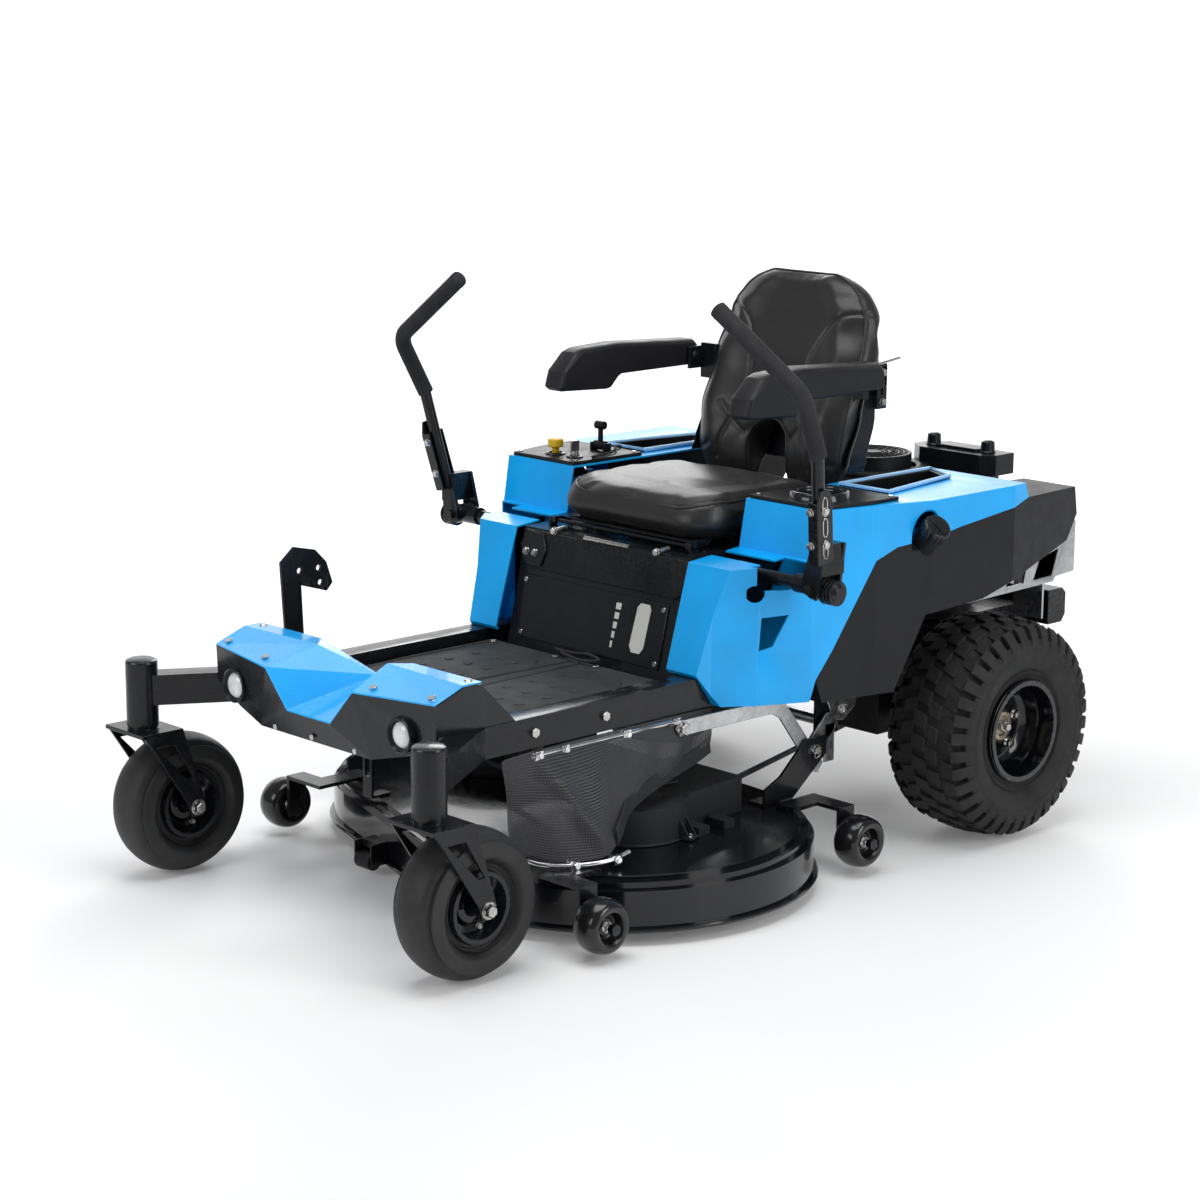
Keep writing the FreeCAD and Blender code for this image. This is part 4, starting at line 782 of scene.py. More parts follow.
def seat_hardware():
    """Armrest mounts with their bolts, and the coil springs under the seat."""
    bm = bmesh.new()
    for _, sign in SIDES:
        add_block(bm, mm(sign * 190, 446, 896), mm(sign * 236, 462, 972))
        add_block(bm, mm(sign * 229, 405, 918), mm(sign * 236, 520, 966))
        add_block(bm, mm(sign * 229, 490, 872), mm(sign * 236, 520, 960))
        add_block(bm, mm(sign * 176, 500, 900), mm(sign * 236, 508, 960))
        add_rod(bm, mm(sign * 226, 424, 945), mm(sign * 238.5, 424, 945), 0.011)
    frame_piece = piece("armrest_mounts", bm, "frame", "seat")
    rounded(frame_piece, 0.0016)
    bm = bmesh.new()
    for _, sign in SIDES:
        add_hex(bm, mm(sign * 236, 505, 948), (sign, 0, 0), 0.013, 0.008)
        add_hex(bm, mm(sign * 236, 505, 886), (sign, 0, 0), 0.013, 0.008)
        add_rod(bm, mm(sign * 222, 512, 965), mm(sign * 222, 575, 972), 0.0028)
    piece("armrest_bolts", bm, "bolt", "seat")
    bm = bmesh.new()
    for _, sign in SIDES:
        for x, y in ((150, 60), (150, 320)):
            turns = [mm(sign * x + 17 * math.cos(t), y + 17 * math.sin(t), 636 + 9 * t / 12.6)
                     for t in [0.35 * k for k in range(44)]]
            add_tube(bm, turns, 0.0022, 8)
    piece("seat_springs", bm, "bolt", "seat")


def armrest(side, sign):
    """Moulded armrest with a chamfered top and a stepped underside, and its hinge pin."""
    outline = [(34, 906), (44, 938), (80, 978), (102, 985), (200, 990), (432, 980), (443, 970),
               (446, 930), (434, 924), (214, 922), (204, 917), (182, 895), (170, 893), (42, 899)]
    rings = []
    for x, grow in ((239.5, -9), (243, -3), (250, 0), (284, 0), (292, -3), (297, -11)):
        ring = []
        for y, z in outline:
            up = 1 if z > 940 else -0.35
            ring.append(mm(sign * x, y + (-grow * 0.6 if y < 100 else grow * 0.3), z + grow * up))
        rings.append(ring)
    bm = bmesh.new()
    add_loft(bm, rings)
    obj = piece("armrest_body_" + side, bm, "armrest", "armrest_" + side,
                ("armrest_" + side,), 40)
    rounded(obj, 0.0045, 4, 22)
    bm = bmesh.new()
    add_rod(bm, mm(sign * 224, 424, 945), mm(sign * 242, 424, 945), 0.007)
    piece("armrest_pin_" + side, bm, "frame", "armrest_" + side)


# Wheels -------------------------------------------------------------------------
def tyre_profile(radius, width, rim, crown, bead):
    """Half-round tyre section as (radius, offset) points, bead to bead."""
    half = width / 2
    shape = [(rim - 0.002, half * bead), (rim + 0.006, half * (bead + 0.04)),
             (rim + 0.012, half * (bead + 0.02)), (rim + (radius - rim) * 0.35, half * 0.985),
             (rim + (radius - rim) * 0.55, half), (rim + (radius - rim) * 0.74, half * 0.965),
             (radius - crown, half * 0.86), (radius - crown * 0.42, half * 0.70),
             (radius - crown * 0.12, half * 0.40), (radius, 0.0)]
    return shape + [(r, -s) for r, s in shape[-2::-1]]


def dense(profile, steps=4):
    return [(p.x, p.y) for p in smooth_path([(r, s, 0) for r, s in profile], steps)]


def rear_tyre(side):
    """Turf tyre: a round carcass, five rows of slanted lugs and blocks over both shoulders."""
    centre, size = box_of("rear_tyre_" + side)
    radius, width, rim = size[2] / 2, size[0], 0.1075
    bm = bmesh.new()
    base_r = radius - 0.009
    section = dense(tyre_profile(base_r, width - 0.006, rim, 0.030, 0.80))
    inner = [(rim - 0.002, -width * 0.38), (rim - 0.002, width * 0.38)]
    add_lathe(bm, section + inner, centre, (1, 0, 0), 112)
    piece("rear_tyre_carcass_" + side, bm, "tyre", "rear_wheel_" + side,
          ("rear_tyre_" + side,), 50)
    bm = bmesh.new()
    lugs, blocks = 30, 36
    for offset, half, phase in ((0.0, 0.020, 0.0), (0.031, 0.018, 0.5), (-0.031, 0.018, 0.5),
                                (0.062, 0.018, 0.0), (-0.062, 0.018, 0.0)):
        for k in range(lugs):
            add_lug(bm, centre, radius, base_r, offset, half, TURN * (k + phase) / lugs,
                    math.pi / lugs * 0.74, 0.25 if offset >= 0 else -0.25)
    for k in range(blocks):
        for edge in (1, -1):
            turn = TURN * (k + 0.5 * (edge > 0)) / blocks
            add_shoulder_lug(bm, centre, radius, width, edge, turn, math.pi / blocks * 0.64)
    tread = piece("rear_tyre_tread_" + side, bm, "tyre", "rear_wheel_" + side)
    rounded(tread, 0.0012, 2, 30)


def ring_point(centre, radius, offset, turn):
    """A point by radius and angle about an axis along X."""
    return centre + Vector((offset, radius * math.cos(turn), radius * math.sin(turn)))


def add_lug(bm, centre, radius, base, offset, half, turn, reach, skew):
    """One slanted tread block with a chevron lean."""
    crown = 0.028 * (abs(offset) / 0.1) ** 2
    corners = []
    for side in (-1, 1):
        for way in (-1, 1):
            lean = skew * side * reach
            corners.append((offset + side * half * 0.86, turn + way * reach * 0.82 + lean))
    order = (corners[0], corners[1], corners[3], corners[2])
    foot = [ring_point(centre, base - 0.006 - crown, s, t) for s, t in order]
    top = [ring_point(centre, radius - crown - 0.0015, s * 0.995, t) for s, t in order]
    add_loft(bm, [foot, top])


def add_shoulder_lug(bm, centre, radius, width, edge, turn, reach):
    """A block that wraps from the tread over the shoulder on to the side wall."""
    half = width / 2
    section = [(radius - 0.0095, half * 0.77), (radius - 0.017, half * 0.875),
               (radius - 0.032, half * 0.955), (radius - 0.048, half * 0.985)]
    inner = [(radius - 0.024, half * 0.76), (radius - 0.032, half * 0.83),
             (radius - 0.046, half * 0.90), (radius - 0.056, half * 0.95)]
    rings = []
    for way in (-1, 1):
        ring = [ring_point(centre, r, edge * s, turn + way * reach) for r, s in section]
        ring += [ring_point(centre, r, edge * s, turn + way * reach) for r, s in inner[::-1]]
        rings.append(ring)
    add_loft(bm, rings)


def sidewall_marks(name, centre, body, sign, rings):
    """Raised moulding rings on a side wall."""
    bm = bmesh.new()
    for radius, offset, thick in rings:
        add_lathe(bm, [(radius - thick, offset), (radius, offset + thick * 0.7),
                       (radius + thick, offset), (radius, offset - thick * 1.4)],
                  centre, (sign, 0, 0), 96)
    piece(name, bm, "tyre", body, angle=40)


def rear_rim_detail(side, sign):
    """Stepped pressed rim, hub, lug bolts and valve on the outer face."""
    centre, size = box_of("rear_tyre_" + side)
    body = "rear_wheel_" + side
    outer = size[0] / 2
    face = outer - 0.0775
    bm = bmesh.new()
    lip = [(0.1065, outer - 0.026), (0.1085, outer - 0.0165), (0.1065, outer - 0.012),
           (0.1035, outer - 0.0145), (0.1010, outer - 0.024), (0.0975, outer - 0.029),
           (0.0965, outer - 0.044), (0.0925, outer - 0.049), (0.0905, outer - 0.064),
           (0.0850, outer - 0.075), (0.0760, outer - 0.0825), (0.0690, outer - 0.0845),
           (0.0640, outer - 0.0790), (0.0300, face), (0.0300, outer - 0.082),
           (0.0690, outer - 0.090), (0.0990, outer - 0.090), (0.1060, outer - 0.060)]
    add_lathe(bm, lip, centre, (sign, 0, 0), 96)
    dish = piece("rear_rim_dish_" + side, bm, "deck", body, angle=40)
    rounded(dish, 0.0014, 2, 20)
    bm = bmesh.new()
    add_lathe(bm, [(0.0, face), (0.0335, face), (0.0345, face + 0.006), (0.030, face + 0.010),
                   (0.021, face + 0.0105), (0.0195, face + 0.006), (0.012, face + 0.007),
                   (0.0, face + 0.007)], centre, (sign, 0, 0), 48)
    hub = piece("rear_hub_" + side, bm, "brass", body, angle=30)
    rounded(hub, 0.0006, 2, 30)
    bm = bmesh.new()
    for k in range(5):
        t = TURN * k / 5 + 0.3
        spot = centre + Vector((sign * face, 0.052 * math.cos(t), 0.052 * math.sin(t)))
        add_rod(bm, spot, spot + Vector((sign * 0.004, 0, 0)), 0.0125, 28)
        add_hex(bm, spot + Vector((sign * 0.003, 0, 0)), (sign, 0, 0), 0.017, 0.011)
    spot = centre + Vector((sign * (face + 0.004), 0, 0))
    add_hex(bm, spot, (sign, 0, 0), 0.022, 0.014)
    add_rod(bm, spot, spot + Vector((sign * 0.024, 0, 0)), 0.0075, 20)
    valve = centre + Vector((sign * (outer - 0.082), 0.080 * math.cos(2.2), 0.080 * math.sin(2.2)))
    add_rod(bm, valve, valve + Vector((sign * 0.030, -0.003, 0.004)), 0.0038, 14)
    bolts = piece("rear_lug_bolts_" + side, bm, "bolt", body)
    rounded(bolts, 0.0005, 2, 30)
    sidewall_marks("rear_sidewall_rings_" + side, centre, body, sign,
                   ((0.168, outer - 0.0030, 0.0016), (0.124, outer - 0.0125, 0.0016)))


def front_wheel(side):
    """Smooth caster tyre, and a pressed rim with bolts on both faces."""
    centre, size = box_of("front_tyre_" + side)
    radius, width = size[2] / 2, size[0]
    body = "front_wheel_" + side
    edge = width / 2 * 0.60
    bm = bmesh.new()
    section = dense(tyre_profile(radius, width, 0.067, 0.022, 0.62), 6)
    inner = [(0.065, -width * 0.30), (0.065, width * 0.30)]
    add_lathe(bm, section + inner, centre, (1, 0, 0), 112)
    piece("front_tyre_body_" + side, bm, "tyre_smooth", body, ("front_tyre_" + side,), 60)
    for face, tag in ((1, "outer"), (-1, "inner")):
        sidewall_marks("front_sidewall_rings_" + tag + "_" + side, centre, body, face,
                       ((0.079, width / 2 * 0.80, 0.0012), (0.121, width / 2 * 0.905, 0.0011)))
        bm = bmesh.new()
        add_lathe(bm, [(0.0665, edge - 0.004), (0.0685, edge + 0.004), (0.0655, edge + 0.008),
                       (0.0625, edge + 0.003), (0.0600, edge - 0.010), (0.0570, edge - 0.016),
                       (0.0400, edge - 0.020), (0.0330, edge - 0.012), (0.0200, edge - 0.010),
                       (0.0190, edge - 0.024), (0.0640, edge - 0.024)], centre, (face, 0, 0), 80)
        dish = piece("front_rim_dish_" + tag + "_" + side, bm, "deck", body, angle=40)
        rounded(dish, 0.001, 2, 20)
        bm = bmesh.new()
        for k in range(4):
            t = math.pi / 2 * k + 0.4
            spot = centre + Vector((face * (edge - 0.0175), 0.048 * math.cos(t), 0.048 * math.sin(t)))
            add_hex(bm, spot, (face, 0, 0), 0.010, 0.006)
        piece("front_rim_bolts_" + tag + "_" + side, bm, "bolt", body)


seat_back()
seat_shell()
seat_cushion()
seat_hardware()
for side, sign in SIDES:
    armrest(side, sign)
    rear_tyre(side)
    rear_rim_detail(side, sign)
    front_wheel(side)


def mesh_boot():
    """The net curtain between the left rail and the deck, with its hem strip, rods and clamps."""
    top = smooth_path([mm(329, -640, 344), mm(333, -560, 350), mm(333, -360, 352),
                       mm(333, -200, 352), mm(330, -90, 350)], 8)
    foot = smooth_path([mm(322, -610, 168), mm(392, -560, 150), mm(432, -476, 150),
                        mm(424, -430, 176), mm(398, -385, 206), mm(376, -320, 222),
                        mm(358, -240, 236), mm(346, -160, 250), mm(338, -104, 264)], 7)
    count = 44
    rows = 18
    heads = [fold_at(top, k / (count - 1)) for k in range(count)]
    feet = [fold_at(foot, k / (count - 1)) for k in range(count)]
    bm = bmesh.new()
    uv = bm.loops.layers.uv.new("UVMap")
    width = sum((b - a).length for a, b in zip(feet, feet[1:]))
    drop = sum((a - b).length for a, b in zip(heads, feet)) / count
    grid = []
    for j in range(rows + 1):
        t = j / rows
        line = []
        for k, (a, b) in enumerate(zip(heads, feet)):
            s = k / (count - 1)
            p = a.lerp(b, t)
            free = math.sin(math.pi * t)
            sag = 0.020 * free * math.sin(math.pi * s)
            crease = 0.020 * math.exp(-((s - 0.14 - 0.20 * t) / 0.030) ** 2) * free
            crease -= 0.012 * math.exp(-((s - 0.46 + 0.10 * t) / 0.05) ** 2) * free
            ripple = 0.0045 * math.sin(30 * s + 5.0 * t) * free
            p = p + Vector((sag * 0.7 + crease + ripple, 0, -sag * 0.35))
            line.append(bm.verts.new(p))
        grid.append(line)
    for j in range(rows):
        for k in range(count - 1):
            face = bm.faces.new((grid[j][k], grid[j][k + 1], grid[j + 1][k + 1], grid[j + 1][k]))
            spots = ((j, k), (j, k + 1), (j + 1, k + 1), (j + 1, k))
            for loop, (row, column) in zip(face.loops, spots):
                loop[uv].uv = (column / (count - 1) * width, row / rows * drop)
    net = piece("boot_net", bm, "net", None, ("mesh_boot",), 180)
    modify(net, "SUBSURF", levels=1, render_levels=1)
    modify(net, "SOLIDIFY", thickness=0.0009, offset=0)
    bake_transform(net)
    bm = bmesh.new()
    hem_start = 16
    thick = Vector((0.004, 0.001, 0))
    strip = [p + Vector((0.002, 0, 0)) for p in feet[hem_start:]]
    upper = [p + Vector((-0.004, 0, 0.028)) for p in feet[hem_start:]]
    rings = [[p, p + thick, q + thick, q] for p, q in zip(strip, upper)]
    add_loft(bm, rings)
    hem = piece("boot_hem_strip", bm, "plastic_grey", None, angle=60)
    rounded(hem, 0.0008, 2)
    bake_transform(hem)
    bm = bmesh.new()
    rod = smooth_path([mm(318, -600, 151), mm(372, -572, 141), mm(414, -520, 139),
                       mm(436, -466, 142), mm(440, -420, 150)], 7)
    add_tube(bm, rod, 0.0055, 14)
    piece("boot_foot_rod", bm, "chrome", "deck")
    bm = bmesh.new()
    add_rod(bm, mm(334, -560, 341), mm(334, -190, 341), 0.006, 16)
    for y in (-556, -490, -330, -196):
        add_block(bm, mm(330, y - 9, 333), mm(342, y + 9, 349))
        add_hex(bm, mm(342, y, 341), (1, 0, 0), 0.011, 0.006)
    for x, y, z in ((404, -528, 141), (436, -452, 145)):
        add_block(bm, mm(x - 9, y - 9, z - 12), mm(x + 9, y + 9, z + 8))
        add_hex(bm, mm(x + 9, y, z - 2), (1, -0.3, 0), 0.011, 0.006)
    clamps = piece("boot_rail_rod", bm, "chrome", "chassis")
    rounded(clamps, 0.0012, 2)


def fold_at(path, t):
    """The point a part of the way along a path, by length."""
    spans = [(b - a).length for a, b in zip(path, path[1:])]
    left = t * sum(spans)
    for a, b, span in zip(path, path[1:], spans):
        if left <= span:
            return a.lerp(b, left / max(span, 1e-9))
        left -= span
    return path[-1].copy()


def belt_cover(side, sign, x, y):
    """Moulded spindle cover: a stepped drum, ribbed ears with bolts, and ribs on its top."""
    bm = bmesh.new()
    profile = [(0.000, 0.1985), (0.052, 0.1985), (0.060, 0.1960), (0.070, 0.1860), (0.078, 0.1835),
               (0.096, 0.1815), (0.104, 0.1780), (0.109, 0.1680), (0.112, 0.1290), (0.117, 0.1285),
               (0.117, 0.1262), (0.104, 0.1262), (0.100, 0.1700), (0.0, 0.1900)]
    add_lathe(bm, profile, mm(x, y, 0), (0, 0, 1), 72, closed=False)
    drum = piece("belt_cover_drum_" + side, bm, "plastic_grey", "deck", angle=28)
    rounded(drum, 0.0016, 2, 25)
    bm = bmesh.new()
    ears = [math.radians(sign * degrees) for degrees in (20, 75, 130)]
    for a in ears:
        out = Vector((math.cos(a), math.sin(a), 0))
        across = Vector((-out.y, out.x, 0))
        spot = Vector(mm(x, y, 0)) + out * 0.113
        foot = [spot + across * s + out * r for s, r in ((-0.017, -0.006), (0.017, -0.006),
                                                         (0.017, 0.026), (-0.017, 0.026))]
        add_loft(bm, [[p + Vector((0, 0, 0.1265)) for p in foot],
                      [p + Vector((0, 0, 0.1315)) for p in foot]])
        for s in (-0.016, 0.013):
            fin = [spot + across * s + out * r + Vector((0, 0, z))
                   for r, z in ((-0.008, 0.131), (0.022, 0.131), (-0.004, 0.172), (-0.010, 0.172))]
            add_prism(bm, fin, across * 0.003)
    feet = piece("belt_cover_ears_" + side, bm, "plastic_grey", "deck")
    rounded(feet, 0.0010, 2)
    bm = bmesh.new()
    for a in ears:
        spot = Vector(mm(x, y, 131)) + Vector((math.cos(a), math.sin(a), 0)) * 0.128
        add_hex(bm, spot, (0, 0, 1), 0.010, 0.006)
    piece("belt_cover_bolts_" + side, bm, "bolt", "deck")
    bm = bmesh.new()
    for k in range(3):
        add_rod(bm, mm(x + sign * (-60 + 22 * k), y + 60, 199),
                mm(x + sign * (-44 + 22 * k), y + 130, 199), 0.0022, 8)
    piece("belt_cover_ribs_" + side, bm, "plastic_grey", "deck")


def deck_rim():
    """Rolled steel bead round the foot of the deck's skirt."""
    (x1, y1, r1), (x2, y2, r2) = (0.201, -0.233, 0.4035), (-0.250, -0.150, 0.3385)
    gap = Vector((x1 - x2, y1 - y2))
    along = gap.normalized()
    base = math.atan2(along.y, along.x)
    spread = math.acos((r1 - r2) / gap.length)
    steps = 48
    path = []
    for x, y, r, first, sweep in ((x1, y1, r1, base - spread, 2 * spread),
                                  (x2, y2, r2, base + spread, TURN - 2 * spread)):
        for k in range(steps + 1):
            t = first + sweep * k / steps
            path.append((x + r * math.cos(t), y + r * math.sin(t), 0.0285))
    bm = bmesh.new()
    add_tube(bm, path, 0.0048, 10, closed=True)
    piece("deck_rolled_rim", bm, "deck", "deck")


def deck_link():
    """Galvanised anti-sway bar, adjuster plates and their bolts at the left hanger."""
    bm = bmesh.new()
    outline = [(-196, 345), (-60, 345), (78, 342), (100, 334), (206, 202), (220, 186), (204, 166),
               (186, 172), (88, 300), (66, 313), (-60, 314), (-196, 313), (-206, 329)]
    add_prism(bm, [mm(345, y, z) for y, z in outline], mm(4.5, 0, 0))
    bar = piece("sway_bar", bm, "zinc", None, angle=25)
    rounded(bar, 0.0012, 2, 20)
    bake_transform(bar)
    bm = bmesh.new()
    plate = [(188, 372), (214, 388), (268, 372), (330, 350), (346, 318), (330, 282), (296, 258),
             (262, 262), (250, 296), (236, 322), (200, 344)]
    add_prism(bm, [mm(331, y, z) for y, z in plate], mm(4, 0, 0))
    add_block(bm, mm(338, 232, 180), mm(342, 262, 262))
    plate = piece("lift_adjuster_plate", bm, "zinc", "chassis", angle=25)
    rounded(plate, 0.0018, 2, 20)
    bm = bmesh.new()
    for y, z, size in ((214, 362, 13), (286, 336, 15), (318, 322, 12), (296, 282, 17)):
        add_hex(bm, mm(335, y, z), (1, 0, 0), size * MM, 0.009)
    piece("adjuster_bolts", bm, "bolt", "chassis")
    bm = bmesh.new()
    add_hex(bm, mm(349.5, -190, 329), (1, 0, 0), 0.022, 0.013)
    piece("sway_bar_bolt", bm, "bolt", "chassis")
    bm = bmesh.new()
    add_hex(bm, mm(356, 189, 219), (1, 0, 0), 0.016, 0.009)
    pin = [mm(362 + 3 * math.cos(t), 189 + 8 * math.sin(t), 219 + 8 * math.cos(t) - 9)
           for t in [0.35 * k for k in range(15)]]
    add_tube(bm, pin, 0.0014, 8)
    piece("sway_bar_pin", bm, "bolt", "deck")


def gauge_wheel(corner):
    """Dished polymer anti-scalp wheel with a hub bolt."""
    centre, size = box_of("gauge_wheel_" + corner)
    radius, half = size[2] / 2 - 0.0004, 0.0295
    bm = bmesh.new()
    outer = [(0.0085, half * 0.42), (0.016, half * 0.42), (0.019, half * 0.30), (0.024, half * 0.34),
             (0.029, half * 0.86), (0.033, half * 0.98), (0.041, half), (0.048, half * 0.80),
             (radius - 0.0005, half * 0.34), (radius, 0.0)]
    section = dense(outer + [(r, -s) for r, s in outer[-2::-1]], 4)
    add_lathe(bm, section, centre, (1, 0, 0), 72)
    body = "gauge_" + corner
    piece("gauge_wheel_body_" + corner, bm, "roller_gloss", body,
          ("gauge_wheel_" + corner,), 60)
    bm = bmesh.new()
    for face in (1, -1):
        spot = centre + Vector((face * half * 0.42, 0, 0))
        add_rod(bm, spot, spot + Vector((face * 0.004, 0, 0)), 0.0125, 24)
        add_hex(bm, spot + Vector((face * 0.003, 0, 0)), (face, 0, 0), 0.017, 0.009)
    piece("gauge_wheel_bolt_" + corner, bm, "bolt", body)


# Floor, seat box and nose -------------------------------------------------------
def floor_mat():
    """Moulded rubber mat with raised foot pads, round studs and ridges, and its fixing screws."""
    bm = bmesh.new()
    plan = [(-266, -638), (266, -638), (266, -132), (-266, -132)]
    add_loft(bm, [[mm(x, y, 384.2) for x, y in plan], [mm(x, y, 391) for x, y in plan]])
    pad = [(30, -600), (150, -600), (236, -540), (248, -420), (236, -250), (180, -190),
           (60, -190), (24, -240)]
    mid_x, mid_y = 138, -395
    for sign in (1, -1):
        rings = []
        for z, shrink in ((390.5, 0), (393.2, 2), (394.6, 6)):
            rings.append([mm(sign * (mid_x + (x - mid_x) * (1 - shrink / 110)),
                             mid_y + (y - mid_y) * (1 - shrink / 200), z) for x, y in pad])
        add_loft(bm, rings)
        for k in range(5):
            for j in range(3):
                x, y = 70 + j * 58, -540 + k * 72
                add_rod(bm, mm(sign * x, y, 394), mm(sign * (x + 0.1), y, 396.4), 0.010, 18)
        for line, z, radius in (
                (((16, -624), (24, -420), (14, -150)), 392, 0.0028),
                (((256, -624), (258, -560), (246, -470), (258, -380), (258, -150)), 391.6, 0.0032)):
            add_tube(bm, smooth_path([mm(sign * x, y, z) for x, y in line], 8), radius, 8)
    obj = piece("floor_mat_moulded", bm, "mat", "chassis", ("floor_mat",))
    rounded(obj, 0.0014, 2, 30)
    bm = bmesh.new()
    for x, y in ((-246, -150), (246, -150), (-246, -610), (246, -610), (60, -146), (-60, -146)):
        add_rod(bm, mm(x, y, 391), mm(x, y, 396), 0.008, 20)
    studs = piece("floor_mat_studs", bm, "bolt", "chassis")
    rounded(studs, 0.001, 2)


def seat_box_front():
    """Upper plate, lower cover, level marks and sight window, a cable loop and the seat latch."""
    bm = bmesh.new()
    upper = [(-238, 624), (238, 624), (238, 560), (214, 545), (-206, 545), (-240, 566)]
    add_loft(bm, [[panel(x, z, 0.5) for x, z in upper], [panel(x, z, 4.5) for x, z in upper]])
    plate = piece("seat_box_plate", bm, "frame", "chassis", angle=25)
    rounded(plate, 0.0016, 2, 20)
    bm = bmesh.new()
    ear = [(-244, 590), (-226, 622), (-176, 618), (-164, 586), (-176, 552), (-222, 552)]
    add_loft(bm, [[panel(x, z, 4) for x, z in ear], [panel(x, z, 9) for x, z in ear]])
    lower = [(-226, 532), (200, 532), (200, 404), (-214, 404)]
    add_loft(bm, [[panel(x, z, 0.5) for x, z in lower], [panel(x, z, 3.5) for x, z in lower]])
    ear_piece = piece("seat_box_cover", bm, "plastic_gloss", "chassis", angle=25)
    rounded(ear_piece, 0.0024, 3, 20)
    bm = bmesh.new()
    for x in (-222, -196):
        add_hex(bm, panel(x, 578, 9), (0, -1, 0.2), 0.013, 0.006)
    for x, z in ((-216, 520), (190, 520), (-206, 414), (190, 414)):
        add_rod(bm, panel(x, z, 3), panel(x, z, 6), 0.0055, 18)
    piece("seat_box_bolts", bm, "bolt", "chassis")
    bm = bmesh.new()
    for k in range(5):
        wide = 15 - 2.2 * k
        z = 502 - 19 * k
        tick = [(56, z), (56 + wide, z), (56 + wide, z + 13), (56, z + 13)]
        add_loft(bm, [[panel(x, h, 3.4) for x, h in tick], [panel(x, h, 4.0) for x, h in tick]])
    window = [(118, 516), (126, 524), (150, 524), (156, 514), (152, 438), (144, 426), (120, 426),
              (112, 438)]
    add_loft(bm, [[panel(x, z, 3.4) for x, z in window], [panel(x, z, 5.4) for x, z in window]])
    sight = piece("tank_sight_window", bm, "white", "chassis", angle=25)
    rounded(sight, 0.0008, 2)
    bm = bmesh.new()
    loop = smooth_path([mm(-70, -118, 398), mm(-40, -142, 402), mm(20, -150, 399), mm(60, -138, 404),
                        mm(20, -128, 408), mm(-30, -126, 402), mm(-86, -122, 400)], 8)
    add_tube(bm, loop, 0.0035, 10)
    piece("control_cable_loop", bm, "foam", "chassis")
    bm = bmesh.new()
    for sign in (1, -1):
        add_rod(bm, mm(sign * 150, -64, 630), mm(sign * 150, -34, 633), 0.006, 16)
        add_hex(bm, mm(sign * 150, -66, 630), (0, -1, 0), 0.013, 0.007)
    add_rod(bm, mm(-60, -66, 629), mm(70, -66, 629), 0.005, 14)
    piece("seat_latch", bm, "bolt", "chassis")


def panel(x, z, out):
    """A point on the seat box's leaning front, a few millimetres proud of it."""
    if z > 530:
        y = -78 + (z - 530) * 16 / 98
    else:
        y = -112 + (z - 384) * 34 / 146
    return mm(x, y - out, z + out * 0.2)


def nose_details():
    """Button screws on the nose, and the lamps' lenses and bezels."""
    bm = bmesh.new()
    for sign in (1, -1):
        for x, y, z in ((306, -782, 478), (146, -806, 471), (306, -700, 500.5)):
            spot = Vector(mm(sign * x, y, z))
            add_rod(bm, spot, spot + Vector((0, -0.0005, 0.0035)), 0.0095, 24, end_radius=0.0065)
    for x, y, z in ((-120, -812, 352), (0, -818, 356), (120, -812, 352)):
        spot = Vector(mm(x, y, z))
        add_rod(bm, spot, spot + Vector((0, -0.004, 0)), 0.006, 18)
    screws = piece("nose_screws", bm, "bolt", "chassis")
    rounded(screws, 0.0008, 2)
    for side, sign in SIDES:
        bm = bmesh.new()
        centre = mm(sign * 250, 0, 408)
        add_lathe(bm, [(0.0, -0.8180), (0.014, -0.8165), (0.022, -0.8130), (0.0262, -0.8080),
                       (0.0262, -0.7560), (0.0, -0.7560)], centre, (0, 1, 0), 48, closed=False)
        replaced = ("headlights",) if side == "left" else ()
        piece("lamp_lens_" + side, bm, "lamp", "chassis", replaced, 40)
        bm = bmesh.new()
        add_lathe(bm, [(0.0262, -0.812), (0.0305, -0.818), (0.0335, -0.816), (0.0335, -0.800),
                       (0.0262, -0.800)], centre, (0, 1, 0), 56)
        bezel = piece("lamp_bezel_" + side, bm, "plastic_gloss", "chassis", angle=40)
        rounded(bezel, 0.0006, 2)


mesh_boot()
for side, sign, x, y in (("left", 1, 285, -265), ("right", -1, -265, -140)):
    belt_cover(side, sign, x, y)
deck_rim()
deck_link()
for corner in CORNERS:
    gauge_wheel(corner)
floor_mat()
seat_box_front()
nose_details()


